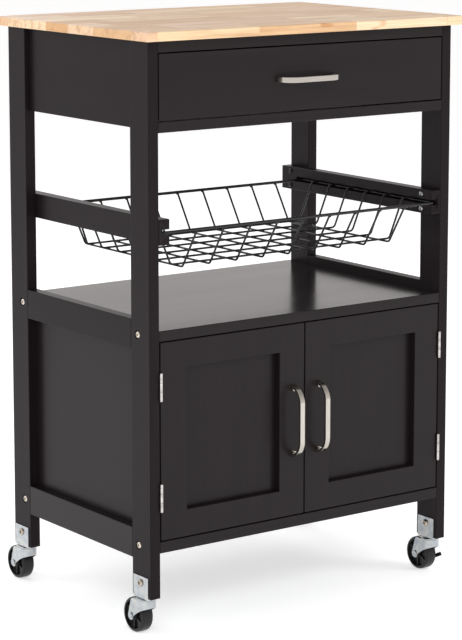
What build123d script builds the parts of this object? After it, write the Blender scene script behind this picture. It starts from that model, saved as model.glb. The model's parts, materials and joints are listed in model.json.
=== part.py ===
from build123d import *

import os
from math import atan2, hypot, tan

# Kitchen cart on four swivel casters: a drawer under a solid wood worktop, a wire basket
# sliding in two grooved rails, an open shelf and a cabinet with two framed doors.
# Millimetres, +Z up, front towards -Y, +X to the right seen from the front.
# The origin is on the floor under the middle of the worktop.

# Worktop
overall_height = 850.0
worktop_width = 566.0
worktop_depth = 402.0
worktop_thickness = 13.0
worktop_edge_radius = 1.5
side_overhang = 13.5
front_overhang = 18.0

# Boards and legs
leg_thickness = 16.5
leg_depth = 45.5
wood_edge_radius = 1.0
panel_edge_radius = 0.4
apron_height = 122.5
apron_thickness = 8.5
apron_recess = 8.0
top_rail_height = 16.5
drawer_opening_height = 94.5
divider_height = 15.0
front_rail_depth = 38.0
cleat_size = 12.0
shelf_height = 437.0
shelf_thickness = 15.0
shelf_rail_height = 43.0
shelf_rail_lip = 13.0
cabinet_floor_height = 137.5
cabinet_floor_thickness = 16.5
bottom_rail_height = 43.5
bottom_rail_lip = 14.5
side_panel_thickness = 3.0
back_panel_thickness = 3.0
back_panel_recess = 9.0

# Bolts and screws
bolt_radius = 2.5
bolt_head_radius = 5.0
bolt_head_height = 2.4
bolt_bite = 24.0
bolt_inset = 30.0
bolt_sink = 2.2
bolt_counterbore_radius = 6.2
screw_radius = 1.9
screw_head_radius = 4.0
screw_head_height = 2.2
plate_screw_bite = 12.0
plate_screw_head_radius = 5.0
plate_screw_head_height = 2.8
head_round = 1.2
hole_clearance = 0.1

# Drawer
drawer_gap = 1.5
drawer_front_thickness = 16.0
drawer_side_thickness = 10.0
drawer_side_height = 62.0
drawer_rear_gap = 33.5
drawer_bottom_thickness = 4.0
drawer_bottom_inset = 3.0
drawer_lift = 12.0
runner_space = 12.5
runner_height = 30.0
runner_flange = 9.0
runner_sheet = 1.2
runner_setback = 3.0
running_gap = 0.35

# Doors
door_thickness = 16.0
door_gap = 1.5
door_hinge_gap = 2.0
door_meeting_gap = 2.0
stile_width = 44.0
door_rail_height = 39.0
door_panel_thickness = 4.0
door_panel_recess = 11.0
strike_size = 14.0
strike_thickness = 0.8
strike_drop = 4.0
strike_edge_radius = 0.2
catch_width = 56.0
catch_depth = 15.0
catch_height = 17.0

# Butt hinges
hinge_length = 38.0
hinge_knuckles = 3
hinge_from_door_end = 62.0
hinge_leaf_width = 16.0
hinge_leaf_thickness = 0.8
hinge_barrel_radius = 2.2
hinge_pin_radius = 1.2
hinge_barrel_standoff = 0.4
hinge_cap_height = 0.9
hinge_knuckle_gap = 0.4
fit_clearance = 0.05

# Bow handles
handle_length = 106.0
handle_hole_spacing = 96.0
handle_projection = 26.0
handle_width = 8.0
handle_strap = 4.0
handle_edge_radius = 0.8
handle_post_radius = 3.8
handle_post_height = 7.0
handle_screw_bite = 5.0

# Wire basket and its rails
basket_rail_thickness = 18.0
basket_rail_height = 36.0
basket_rim_radius = 2.25
basket_wire_radius = 1.5
basket_rim_reach = 9.0
basket_rim_corner = 8.0
rim_end_length = 16.0
basket_setback = 3.0
basket_rear_gap = 45.0
groove_end_gap = 5.0
basket_depth = 57.5
basket_end_slope = 36.0
basket_side_slope = 25.0
basket_hook = 21.0
basket_bend = 7.0
basket_hook_bend = 5.0
basket_bend_stub = 1.0
weld_sink = 0.5
long_wire_margin = 11.2
long_wire_count = 9
cross_wire_margin = 13.0
cross_wire_count = 6
rail_screw_bite = 10.0

# Casters
wheel_radius = 25.0
wheel_width = 19.0
wheel_shoulder = 3.5
wheel_rim_depth = 5.0
wheel_web = 9.0
wheel_hub_radius = 7.5
caster_trail = 21.0
crown_clearance = 1.0
fork_sheet = 1.8
fork_side_play = 1.9
fork_boss_radius = 6.5
fork_front_skirt = 12.0
fork_heel_drop = 3.0
fork_heel_back = 20.0
fork_edge_sag = 1.0
crown_round = 2.5
race_radius = 10.0
race_height = 1.8
race_round = 0.8
axle_radius = 3.0
axle_head_radius = 4.6
axle_head = 1.4
swivel_pin_radius = 3.0
swivel_gap = 0.3
plate_thickness = 1.8
plate_width = 36.0
plate_height = 30.0
plate_screw_drop = 9.5
lever_thickness = 3.0
lever_hub_radius = 6.0
lever_reach = 14.0
lever_dip = 6.0
lever_bar = 5.5
lever_tip_length = 14.0
lever_tip_rise = 7.0

# Worked out once: the frame's main planes
frame_width = worktop_width - 2 * side_overhang
frame_depth = worktop_depth - 2 * front_overhang
side_x = frame_width / 2
inner_x = side_x - leg_thickness
front_y = -frame_depth / 2
back_y = frame_depth / 2
leg_centre_x = side_x - leg_thickness / 2
leg_centre_y = back_y - leg_depth / 2
between_legs_y = back_y - leg_depth
leg_bay = (-between_legs_y, between_legs_y)
frame_top = overall_height - worktop_thickness

# Worked out once: the caster's stack, from the floor up to the foot of the leg
crown_bottom = 2 * wheel_radius + crown_clearance
crown_top = crown_bottom + fork_sheet
race_top = crown_top + race_height
plate_bottom = race_top + swivel_gap
leg_bottom = plate_bottom + plate_thickness
fork_half_inner = wheel_width / 2 + fork_side_play
fork_half_width = fork_half_inner + fork_sheet

# Worked out once: heights of the boards and openings
drawer_opening_top = frame_top - top_rail_height
drawer_opening_bottom = drawer_opening_top - drawer_opening_height
divider_bottom = drawer_opening_bottom - divider_height
shelf_bottom = shelf_height - shelf_thickness
shelf_rail_top = shelf_height + shelf_rail_lip
cabinet_floor_bottom = cabinet_floor_height - cabinet_floor_thickness
bottom_rail_top = cabinet_floor_height + bottom_rail_lip
door_bottom = cabinet_floor_height + door_gap
door_top = shelf_bottom - door_gap
door_width = inner_x - door_hinge_gap - door_meeting_gap / 2
bolt_y = back_y - bolt_inset
bolt_heights = (shelf_height - shelf_thickness / 2, cabinet_floor_height - cabinet_floor_thickness / 2)

# Worked out once: the basket's groove, rim and floor
basket_rail_bottom = shelf_height + (divider_bottom - shelf_height - basket_rail_height) / 2
rail_inner_x = inner_x - basket_rail_thickness
rim_x = rail_inner_x + basket_rim_reach
hook_rise = basket_rim_radius + basket_wire_radius - weld_sink
groove_height = basket_rim_radius + hook_rise + basket_wire_radius + 2 * running_gap
groove_bottom = basket_rail_bottom + (basket_rail_height - groove_height) / 2
groove_depth = basket_rim_reach + basket_rim_radius + running_gap
rim_z = groove_bottom + running_gap + basket_rim_radius
hook_z = rim_z + hook_rise
rim_front_y = front_y + basket_setback
rim_back_y = back_y - basket_rear_gap
groove_stop_y = rim_back_y + basket_rim_radius + groove_end_gap
basket_middle_y = (rim_front_y + rim_back_y) / 2
long_wire_z = rim_z - basket_depth
cross_wire_z = long_wire_z + 2 * basket_wire_radius - weld_sink
hook_bend_x = rim_x - basket_hook
floor_x = hook_bend_x - basket_side_slope
floor_front_y = rim_front_y + basket_end_slope
floor_back_y = rim_back_y - basket_end_slope
long_wire_pitch = 2 * (floor_x - long_wire_margin) / (long_wire_count - 1)
cross_wire_span = floor_back_y - floor_front_y - 2 * cross_wire_margin
cross_wire_pitch = cross_wire_span / (cross_wire_count - 1)
lip_height = (basket_rail_height - groove_height) / 2
rail_screw_heights = (basket_rail_bottom + lip_height / 2, groove_bottom + groove_height + lip_height / 2)

# Worked out once: the drawer box between its runners
drawer_box_x = inner_x - runner_space
drawer_front_back_y = front_y + drawer_front_thickness
back_apron_front_y = back_y - apron_recess - apron_thickness
drawer_back_y = back_apron_front_y - drawer_rear_gap
drawer_side_bottom = drawer_opening_bottom + drawer_lift
runner_bottom = drawer_side_bottom + drawer_side_height / 2 - runner_height / 2
drawer_middle_z = (drawer_opening_top + drawer_opening_bottom) / 2

sides = (("left", -1), ("right", 1))
rows = (("front", -1), ("back", 1))

os.makedirs("parts", exist_ok=True)


def save(piece, name):
    """Label a finished piece and write it to its own file."""
    piece.part.label = name
    export_step(piece.part, f"parts/{name}.step")


def board(low, high, edge_radius):
    """Return a board between two corners, with all its edges eased."""
    with BuildPart() as blank:
        with BuildSketch(Plane.XY.offset(low[2])):
            with Locations(((low[0] + high[0]) / 2, (low[1] + high[1]) / 2)):
                Rectangle(high[0] - low[0], high[1] - low[1])
        extrude(amount=high[2] - low[2])
        fillet(blank.edges(), edge_radius)
    return blank.part


def side_board(side, inner, outer, y_span, z_span, edge_radius):
    """Return a board on one side of the cart, from its two distances to the middle plane."""
    low_x, high_x = sorted((side * inner, side * outer))
    return board((low_x, y_span[0], z_span[0]), (high_x, y_span[1], z_span[1]), edge_radius)


def drill(point, into, radius, depth=None):
    """Drill a round hole at a point of a face, in the direction into."""
    with Locations(Plane(origin=point, z_dir=-Vector(*into))):
        Hole(radius=radius, depth=depth)


def screw(point, out, shaft_radius, shaft_length, head_radius, head_height):
    """Return a round-headed screw whose head sits on a face at a point, facing out."""
    seat = Plane(origin=point, z_dir=out)
    with BuildPart() as fastener:
        with BuildSketch(seat):
            Circle(head_radius)
        extrude(amount=head_height)
        fillet(fastener.edges().sort_by(Axis(seat.origin, seat.z_dir))[-1], head_round)
        with BuildSketch(seat):
            Circle(shaft_radius)
        extrude(amount=-shaft_length)
    return fastener.part


def wire(points, bend_radius, wire_radius):
    """Return a round wire along straight runs with rounded bends."""
    with BuildPart() as bent:
        with BuildLine() as path:
            FilletPolyline(*points, radius=bend_radius)
        with BuildSketch(Plane(origin=path.line @ 0, z_dir=path.line % 0)):
            Circle(wire_radius)
        sweep(path=path.line)
    return bent.part


def rod(start, end, radius):
    """Return a straight round rod between two points."""
    run = Vector(*end) - Vector(*start)
    with BuildPart() as straight:
        with BuildSketch(Plane(origin=start, z_dir=run)):
            Circle(radius)
        extrude(amount=run.length)
    return straight.part


# Worktop
with BuildPart() as worktop:
    with BuildSketch(Plane.XY.offset(frame_top)):
        Rectangle(worktop_width, worktop_depth)
    extrude(amount=worktop_thickness)
    fillet(worktop.edges(), worktop_edge_radius)
save(worktop, "worktop")

# Legs, counterbored for the frame bolts and drilled for the basket rail screws and the caster screws
plate_screw_z = leg_bottom + plate_height - plate_screw_drop
for side_name, side in sides:
    for row_name, row in rows:
        with BuildPart() as leg:
            with BuildSketch(Plane.XY.offset(leg_bottom)):
                with Locations((side * leg_centre_x, row * leg_centre_y)):
                    RectangleRounded(leg_thickness, leg_depth, wood_edge_radius)
            extrude(amount=frame_top - leg_bottom)
            for height in bolt_heights:
                bolt_mouth = (side * side_x, row * bolt_y, height)
                drill(bolt_mouth, (-side, 0, 0), bolt_radius + hole_clearance)
                drill(bolt_mouth, (-side, 0, 0), bolt_counterbore_radius, bolt_sink)
            for height in rail_screw_heights:
                drill(
                    (side * inner_x, row * leg_centre_y, height),
                    (side, 0, 0),
                    screw_radius + hole_clearance,
                    rail_screw_bite + hole_clearance,
                )
            drill(
                (side * leg_centre_x - leg_thickness / 2, row * leg_centre_y, plate_screw_z),
                (1, 0, 0),
                screw_radius + hole_clearance,
                plate_screw_bite + hole_clearance,
            )
        save(leg, f"leg_{row_name}_{side_name}")

# Aprons round the drawer bay, and the cleats inside them that hold the worktop
apron_span = (frame_top - apron_height, frame_top)
cleat_span = (frame_top - cleat_size, frame_top)
apron_boards = []
cleat_boards = []
for side_name, side in sides:
    apron_boards.append(
        side_board(side, inner_x, inner_x + apron_thickness, leg_bay, apron_span, wood_edge_radius)
    )
    cleat_boards.append(
        side_board(side, inner_x - cleat_size, inner_x, leg_bay, cleat_span, wood_edge_radius)
    )
with BuildPart() as side_aprons:
    add(apron_boards)
save(side_aprons, "side_aprons")
with BuildPart() as worktop_cleats:
    add(cleat_boards)
save(worktop_cleats, "worktop_cleats")

back_apron_board = board(
    (-inner_x, back_apron_front_y, frame_top - apron_height),
    (inner_x, back_y - apron_recess, frame_top),
    wood_edge_radius,
)
with BuildPart() as back_apron:
    add(back_apron_board)
save(back_apron, "back_apron")

# Rails above and below the drawer
opening_rail_boards = []
for rail_bottom, rail_top in ((drawer_opening_top, frame_top), (divider_bottom, drawer_opening_bottom)):
    opening_rail_boards.append(
        board(
            (-inner_x, front_y, rail_bottom),
            (inner_x, front_y + front_rail_depth, rail_top),
            wood_edge_radius,
        )
    )
with BuildPart() as drawer_opening_rails:
    add(opening_rail_boards)
save(drawer_opening_rails, "drawer_opening_rails")

# Basket rails, each with a groove along its inner face, open in front and stopped behind the basket
basket_rail_span = (basket_rail_bottom, basket_rail_bottom + basket_rail_height)
basket_rail_blanks = []
basket_rail_fixings = []
for side_name, side in sides:
    basket_rail_blanks.append(
        side_board(side, rail_inner_x, inner_x, (front_y, back_y), basket_rail_span, wood_edge_radius)
    )
    for row_name, row in rows:
        for height in rail_screw_heights:
            basket_rail_fixings.append(
                screw(
                    (side * rail_inner_x, row * leg_centre_y, height),
                    (-side, 0, 0),
                    screw_radius,
                    basket_rail_thickness + rail_screw_bite,
                    screw_head_radius,
                    screw_head_height,
                )
            )
with BuildPart() as basket_rails:
    add(basket_rail_blanks)
    with BuildSketch(Plane.XZ.offset(-groove_stop_y)):
        for side_name, side in sides:
            with Locations((side * rail_inner_x, groove_bottom + groove_height / 2)):
                Rectangle(2 * groove_depth, groove_height)
    extrude(amount=groove_stop_y - front_y, mode=Mode.SUBTRACT)
    for side_name, side in sides:
        for row_name, row in rows:
            for height in rail_screw_heights:
                drill(
                    (side * rail_inner_x, row * leg_centre_y, height),
                    (side, 0, 0),
                    screw_radius + hole_clearance,
                    basket_rail_thickness + hole_clearance,
                )
save(basket_rails, "basket_rails")
with BuildPart() as basket_rail_screws:
    add(basket_rail_fixings)
save(basket_rail_screws, "basket_rail_screws")

# Shelf and cabinet floor, drilled at their ends for the frame bolts
bolts = []
for board_name, board_bottom, board_top in (
    ("shelf_board", shelf_bottom, shelf_height),
    ("cabinet_floor", cabinet_floor_bottom, cabinet_floor_height),
):
    bolt_height = (board_bottom + board_top) / 2
    blank_board = board((-inner_x, front_y, board_bottom), (inner_x, back_y, board_top), wood_edge_radius)
    with BuildPart() as deck:
        add(blank_board)
        for side_name, side in sides:
            for row_name, row in rows:
                drill(
                    (side * inner_x, row * bolt_y, bolt_height),
                    (-side, 0, 0),
                    bolt_radius + hole_clearance,
                    bolt_bite + hole_clearance,
                )
    save(deck, board_name)
    for side_name, side in sides:
        for row_name, row in rows:
            bolts.append(
                screw(
                    (side * (side_x - bolt_sink), row * bolt_y, bolt_height),
                    (side, 0, 0),
                    bolt_radius,
                    leg_thickness - bolt_sink + bolt_bite,
                    bolt_head_radius,
                    bolt_head_height,
                )
            )
with BuildPart() as frame_bolts:
    add(bolts)
save(frame_bolts, "frame_bolts")

# Side rails of the shelf and of the cabinet bottom, flush with the legs
for rail_name, rail_top, rail_height in (
    ("shelf_side_rails", shelf_rail_top, shelf_rail_height),
    ("bottom_side_rails", bottom_rail_top, bottom_rail_height),
):
    rail_boards = []
    for side_name, side in sides:
        rail_boards.append(
            side_board(side, inner_x, side_x, leg_bay, (rail_top - rail_height, rail_top), wood_edge_radius)
        )
    with BuildPart() as side_rails:
        add(rail_boards)
    save(side_rails, rail_name)

# Thin panels of the cabinet, at the inside of the legs and between the back legs
panel_span = (bottom_rail_top, shelf_rail_top - shelf_rail_height)
panel_boards = []
for side_name, side in sides:
    panel_boards.append(
        side_board(side, inner_x, inner_x + side_panel_thickness, leg_bay, panel_span, panel_edge_radius)
    )
with BuildPart() as side_panels:
    add(panel_boards)
save(side_panels, "side_panels")

back_panel_board = board(
    (-inner_x, back_y - back_panel_recess - back_panel_thickness, cabinet_floor_height),
    (inner_x, back_y - back_panel_recess, shelf_bottom),
    panel_edge_radius,
)
with BuildPart() as back_panel:
    add(back_panel_board)
save(back_panel, "back_panel")

# Drawer runners: channels on the frame, and angle rails on the drawer that ride in them
runner_front_y = drawer_front_back_y + runner_setback
runner_middle_z = runner_bottom + runner_height / 2
with BuildPart() as drawer_runners:
    with BuildSketch(Plane.XZ.offset(-drawer_back_y)):
        for side_name, side in sides:
            with Locations((side * (inner_x - runner_flange / 2), runner_middle_z)):
                Rectangle(runner_flange, runner_height)
            with Locations((side * (inner_x - runner_sheet - runner_flange / 2), runner_middle_z)):
                Rectangle(runner_flange, runner_height - 2 * runner_sheet, mode=Mode.SUBTRACT)
    extrude(amount=drawer_back_y - runner_front_y)
save(drawer_runners, "drawer_runners")

slide_bottom = runner_bottom + runner_sheet + running_gap
slide_height = runner_height - 2 * runner_sheet - 2 * running_gap
slide_flange = runner_space - runner_sheet - running_gap
with BuildPart() as drawer_slide_rails:
    with BuildSketch(Plane.XZ.offset(-drawer_back_y)):
        for side_name, side in sides:
            with Locations((side * (drawer_box_x + runner_sheet / 2), slide_bottom + slide_height / 2)):
                Rectangle(runner_sheet, slide_height)
            with Locations((side * (drawer_box_x + slide_flange / 2), slide_bottom + runner_sheet / 2)):
                Rectangle(slide_flange, runner_sheet)
    extrude(amount=drawer_back_y - runner_front_y)
save(drawer_slide_rails, "drawer_slide_rails")

# Drawer box
drawer_side_span = (drawer_side_bottom, drawer_side_bottom + drawer_side_height)
drawer_inside_x = drawer_box_x - drawer_side_thickness
drawer_inside_back_y = drawer_back_y - drawer_side_thickness
drawer_bottom_z = drawer_side_bottom + drawer_bottom_inset
drawer_front_board = board(
    (-inner_x + drawer_gap, front_y, drawer_opening_bottom + drawer_gap),
    (inner_x - drawer_gap, drawer_front_back_y, drawer_opening_top - drawer_gap),
    wood_edge_radius,
)
with BuildPart() as drawer_front:
    add(drawer_front_board)
    for end in (-1, 1):
        drill(
            (end * handle_hole_spacing / 2, front_y, drawer_middle_z),
            (0, 1, 0),
            screw_radius + hole_clearance,
        )
save(drawer_front, "drawer_front")

drawer_side_boards = []
for side_name, side in sides:
    drawer_side_boards.append(
        side_board(
            side,
            drawer_inside_x,
            drawer_box_x,
            (drawer_front_back_y, drawer_back_y),
            drawer_side_span,
            wood_edge_radius,
        )
    )
with BuildPart() as drawer_sides:
    add(drawer_side_boards)
save(drawer_sides, "drawer_sides")

drawer_back_board = board(
    (-drawer_inside_x, drawer_inside_back_y, drawer_side_span[0]),
    (drawer_inside_x, drawer_back_y, drawer_side_span[1]),
    wood_edge_radius,
)
with BuildPart() as drawer_back:
    add(drawer_back_board)
save(drawer_back, "drawer_back")

drawer_bottom_board = board(
    (-drawer_inside_x, drawer_front_back_y, drawer_bottom_z),
    (drawer_inside_x, drawer_inside_back_y, drawer_bottom_z + drawer_bottom_thickness),
    panel_edge_radius,
)
with BuildPart() as drawer_bottom:
    add(drawer_bottom_board)
save(drawer_bottom, "drawer_bottom")


def bow_handle(name, centre, along):
    """Make a flat strap bent into a bow, standing on two screw posts on a front face."""
    outward = Vector(0, -1, 0)
    across = along.cross(outward)
    half_length = handle_length / 2
    bend_centre = half_length - handle_projection
    strap_plane = Plane(origin=centre - across * (handle_width / 2), x_dir=along, z_dir=across)
    feet = [centre + along * (end * handle_hole_spacing / 2) for end in (-1, 1)]
    with BuildPart() as handle:
        with BuildSketch(strap_plane):
            with BuildLine():
                for bend_radius in (handle_projection, handle_projection - handle_strap):
                    CenterArc((bend_centre, 0), bend_radius, 0, 90)
                    CenterArc((-bend_centre, 0), bend_radius, 90, 90)
                    Line((-bend_centre, bend_radius), (bend_centre, bend_radius))
                for end in (-1, 1):
                    Line((end * half_length, 0), (end * (half_length - handle_strap), 0))
            make_face()
        extrude(amount=handle_width)
        strap_edges = handle.edges().filter_by(lambda edge: centre.Y - (edge @ 0.5).Y > handle_edge_radius)
        fillet(strap_edges, handle_edge_radius)
        for foot in feet:
            with BuildSketch(Plane(origin=foot, x_dir=along, z_dir=outward)):
                Circle(handle_post_radius)
            extrude(amount=handle_post_height)
        for foot in feet:
            drill(foot, outward, screw_radius + hole_clearance, handle_screw_bite + hole_clearance)
    save(handle, name)


def handle_screws(name, centre, along, thickness):
    """Make the two screws of a handle, put in from behind a board of the given thickness."""
    fixings = []
    for end in (-1, 1):
        seat = centre + along * (end * handle_hole_spacing / 2) + Vector(0, thickness, 0)
        fixings.append(
            screw(
                seat,
                (0, 1, 0),
                screw_radius,
                thickness + handle_screw_bite,
                screw_head_radius,
                screw_head_height,
            )
        )
    with BuildPart() as pair:
        add(fixings)
    save(pair, name)


drawer_handle_centre = Vector(0, front_y, drawer_middle_z)
bow_handle("drawer_handle", drawer_handle_centre, Vector(1, 0, 0))
handle_screws("drawer_handle_screws", drawer_handle_centre, Vector(1, 0, 0), drawer_front_thickness)

# Doors: stiles run full height, rails and the thin panel fit between them
door_middle_z = (door_bottom + door_top) / 2
door_back_y = front_y + door_thickness
free_edge = door_meeting_gap / 2
hinge_edge = free_edge + door_width
door_y_span = (front_y, door_back_y)
panel_y_span = (front_y + door_panel_recess, front_y + door_panel_recess + door_panel_thickness)
handle_x = free_edge + stile_width / 2
strike_top = door_top - strike_drop
for side_name, side in sides:
    handle_centre = Vector(side * handle_x, front_y, door_middle_z)
    stile_boards = []
    for inner, outer in ((free_edge, free_edge + stile_width), (hinge_edge - stile_width, hinge_edge)):
        stile_boards.append(
            side_board(side, inner, outer, door_y_span, (door_bottom, door_top), wood_edge_radius)
        )
    door_rail_boards = []
    for rail_bottom in (door_bottom, door_top - door_rail_height):
        door_rail_boards.append(
            side_board(
                side,
                free_edge + stile_width,
                hinge_edge - stile_width,
                door_y_span,
                (rail_bottom, rail_bottom + door_rail_height),
                wood_edge_radius,
            )
        )
    panel_board = side_board(
        side,
        free_edge + stile_width,
        hinge_edge - stile_width,
        panel_y_span,
        (door_bottom + door_rail_height, door_top - door_rail_height),
        panel_edge_radius,
    )
    strike_plate = side_board(
        side,
        handle_x - strike_size / 2,
        handle_x + strike_size / 2,
        (door_back_y, door_back_y + strike_thickness),
        (strike_top - strike_size, strike_top),
        strike_edge_radius,
    )
    with BuildPart() as door_stiles:
        add(stile_boards)
        for end in (-1, 1):
            drill(
                (handle_centre.X, front_y, door_middle_z + end * handle_hole_spacing / 2),
                (0, 1, 0),
                screw_radius + hole_clearance,
                door_thickness + hole_clearance,
            )
    save(door_stiles, f"door_{side_name}_stiles")
    with BuildPart() as door_rails:
        add(door_rail_boards)
    save(door_rails, f"door_{side_name}_rails")
    with BuildPart() as door_panel:
        add(panel_board)
    save(door_panel, f"door_{side_name}_panel")
    with BuildPart() as door_strike:
        add(strike_plate)
    save(door_strike, f"door_{side_name}_strike")
    bow_handle(f"door_{side_name}_handle", handle_centre, Vector(0, 0, 1))
    handle_screws(f"door_{side_name}_handle_screws", handle_centre, Vector(0, 0, 1), door_thickness)

# Magnetic catch under the shelf, behind the meeting stiles
catch_front_y = door_back_y + strike_thickness + running_gap
catch_block = board(
    (-catch_width / 2, catch_front_y, shelf_bottom - catch_height),
    (catch_width / 2, catch_front_y + catch_depth, shelf_bottom),
    wood_edge_radius,
)
with BuildPart() as door_catch:
    add(catch_block)
save(door_catch, "door_catch")

# Butt hinges: two leaves in the gap beside each door, knuckles round a fixed pin
hinge_heights = (door_bottom + hinge_from_door_end, door_top - hinge_from_door_end)
knuckle_length = hinge_length / hinge_knuckles
pin_x = inner_x - door_hinge_gap / 2
pin_y = front_y - hinge_barrel_radius - hinge_barrel_standoff


def hinge_leaf(side, middle_z, face_x, toward_pin, knuckles):
    """Return one hinge leaf, flat against an edge at face_x, with its share of the knuckles."""
    leaf_x = side * (face_x + toward_pin * hinge_leaf_thickness / 2)
    leaf_low_z = middle_z - hinge_length / 2
    with BuildPart() as leaf:
        with BuildSketch(Plane.XY.offset(leaf_low_z)):
            with Locations((leaf_x, front_y + hinge_leaf_width / 2)):
                Rectangle(hinge_leaf_thickness, hinge_leaf_width)
        extrude(amount=hinge_length)
        for index in knuckles:
            with BuildSketch(Plane.XY.offset(leaf_low_z + index * knuckle_length + hinge_knuckle_gap / 2)):
                with Locations((side * pin_x, pin_y)):
                    Circle(hinge_barrel_radius)
                with Locations((leaf_x, (pin_y + front_y) / 2)):
                    Rectangle(hinge_leaf_thickness, front_y - pin_y)
                with Locations((side * pin_x, pin_y)):
                    Circle(hinge_pin_radius + fit_clearance, mode=Mode.SUBTRACT)
            extrude(amount=knuckle_length - hinge_knuckle_gap)
    return leaf.part


frame_leaves = []
for side_name, side in sides:
    door_leaves = []
    for middle_z in hinge_heights:
        frame_leaves.append(hinge_leaf(side, middle_z, inner_x, -1, (0, 2)))
        door_leaves.append(hinge_leaf(side, middle_z, hinge_edge, 1, (1,)))
    with BuildPart() as hinge_door_leaves:
        add(door_leaves)
    save(hinge_door_leaves, f"door_{side_name}_hinge_leaves")
with BuildPart() as hinge_frame_leaves:
    add(frame_leaves)
save(hinge_frame_leaves, "hinge_frame_leaves")

with BuildPart() as hinge_pins:
    for middle_z in hinge_heights:
        with BuildSketch(Plane.XY.offset(middle_z - hinge_length / 2)):
            with Locations((-pin_x, pin_y), (pin_x, pin_y)):
                Circle(hinge_pin_radius)
        extrude(amount=hinge_length)
        for end in (-1, 1):
            with BuildSketch(Plane.XY.offset(middle_z + end * hinge_length / 2)):
                with Locations((-pin_x, pin_y), (pin_x, pin_y)):
                    Circle(hinge_barrel_radius)
            extrude(amount=end * hinge_cap_height)
save(hinge_pins, "hinge_pins")


def spread(count, pitch):
    """Return evenly pitched places about zero."""
    return [(index - (count - 1) / 2) * pitch for index in range(count)]


def bend_end(corner, upper):
    """Return where an upright meets the bend at a floor corner, just past the bend's tangent point."""
    slope = Vector(*upper) - Vector(*corner)
    turn = atan2(slope.Z, hypot(slope.X, slope.Y))
    return tuple(Vector(*corner) + slope.normalized() * (basket_bend * tan(turn / 2) + basket_bend_stub))


# Basket floor: long wires from front to back, cross wires welded on top of them
long_wire_places = spread(long_wire_count, long_wire_pitch)
cross_wire_places = [basket_middle_y + place for place in spread(cross_wire_count, cross_wire_pitch)]
floor_wires = []
for x in long_wire_places:
    front_corner = (x, floor_front_y, long_wire_z)
    back_corner = (x, floor_back_y, long_wire_z)
    front_end = bend_end(front_corner, (x, rim_front_y, rim_z))
    back_end = bend_end(back_corner, (x, rim_back_y, rim_z))
    floor_wires.append(
        wire((front_end, front_corner, back_corner, back_end), basket_bend, basket_wire_radius)
    )
for y in cross_wire_places:
    left_corner = (-floor_x, y, cross_wire_z)
    right_corner = (floor_x, y, cross_wire_z)
    left_end = bend_end(left_corner, (-hook_bend_x, y, hook_z))
    right_end = bend_end(right_corner, (hook_bend_x, y, hook_z))
    floor_wires.append(
        wire((left_end, left_corner, right_corner, right_end), basket_bend, basket_wire_radius)
    )
with BuildPart() as basket_floor:
    add(floor_wires)
save(basket_floor, "basket_floor")

# Basket front and back: uprights under a rim whose ends turn into the rails
for row_name, rim_y, corner_y, row in (
    ("front", rim_front_y, floor_front_y, -1),
    ("back", rim_back_y, floor_back_y, 1),
):
    rim_end_y = rim_y - row * rim_end_length
    end_wires = [
        wire(
            (
                (-rim_x, rim_end_y, rim_z),
                (-rim_x, rim_y, rim_z),
                (rim_x, rim_y, rim_z),
                (rim_x, rim_end_y, rim_z),
            ),
            basket_rim_corner,
            basket_rim_radius,
        )
    ]
    for x in long_wire_places:
        upright_top = (x, rim_y, rim_z)
        upright_foot = bend_end((x, corner_y, long_wire_z), upright_top)
        end_wires.append(rod(upright_foot, upright_top, basket_wire_radius))
    with BuildPart() as basket_end:
        add(end_wires)
    save(basket_end, f"basket_{row_name}")

# Basket sides: hooked uprights welded over the rim that slides in the groove
for side_name, side in sides:
    side_wires = [
        rod(
            (side * rim_x, rim_front_y + rim_end_length, rim_z),
            (side * rim_x, rim_back_y - rim_end_length, rim_z),
            basket_rim_radius,
        )
    ]
    for y in cross_wire_places:
        shoulder = (side * hook_bend_x, y, hook_z)
        foot = bend_end((side * floor_x, y, cross_wire_z), shoulder)
        hook_end = (side * rim_x, y, hook_z)
        side_wires.append(wire((foot, shoulder, hook_end), basket_hook_bend, basket_wire_radius))
    with BuildPart() as basket_side:
        add(side_wires)
    save(basket_side, f"basket_{side_name}")

# Caster plates: up against the left face of each leg and in under its foot
caster_places = []
for side_name, side in sides:
    for row_name, row in rows:
        caster_places.append((f"{row_name}_{side_name}", side * leg_centre_x, row * leg_centre_y))
plate_screw_set = []
for place, swivel_x, swivel_y in caster_places:
    plate_screw_set.append(
        screw(
            (swivel_x - leg_thickness / 2 - plate_thickness, swivel_y, plate_screw_z),
            (-1, 0, 0),
            screw_radius,
            plate_thickness + plate_screw_bite,
            plate_screw_head_radius,
            plate_screw_head_height,
        )
    )
with BuildPart() as caster_plates:
    for place, swivel_x, swivel_y in caster_places:
        face_x = swivel_x - leg_thickness / 2
        with BuildSketch(Plane.YZ.offset(face_x - plate_thickness)):
            with Locations((swivel_y, plate_bottom + (plate_height + plate_thickness) / 2)):
                Rectangle(plate_width, plate_height + plate_thickness)
        extrude(amount=plate_thickness)
        with BuildSketch(Plane.XY.offset(plate_bottom)):
            with Locations((face_x + (leg_thickness - plate_thickness) / 2, swivel_y)):
                Rectangle(leg_thickness + plate_thickness, plate_width)
            with Locations((swivel_x, swivel_y)):
                Circle(swivel_pin_radius + fit_clearance, mode=Mode.SUBTRACT)
        extrude(amount=plate_thickness)
    for place, swivel_x, swivel_y in caster_places:
        drill(
            (swivel_x - leg_thickness / 2 - plate_thickness, swivel_y, plate_screw_z),
            (1, 0, 0),
            screw_radius + hole_clearance,
            plate_thickness + hole_clearance,
        )
save(caster_plates, "caster_plates")
with BuildPart() as caster_screws:
    add(plate_screw_set)
save(caster_screws, "caster_screws")


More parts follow.
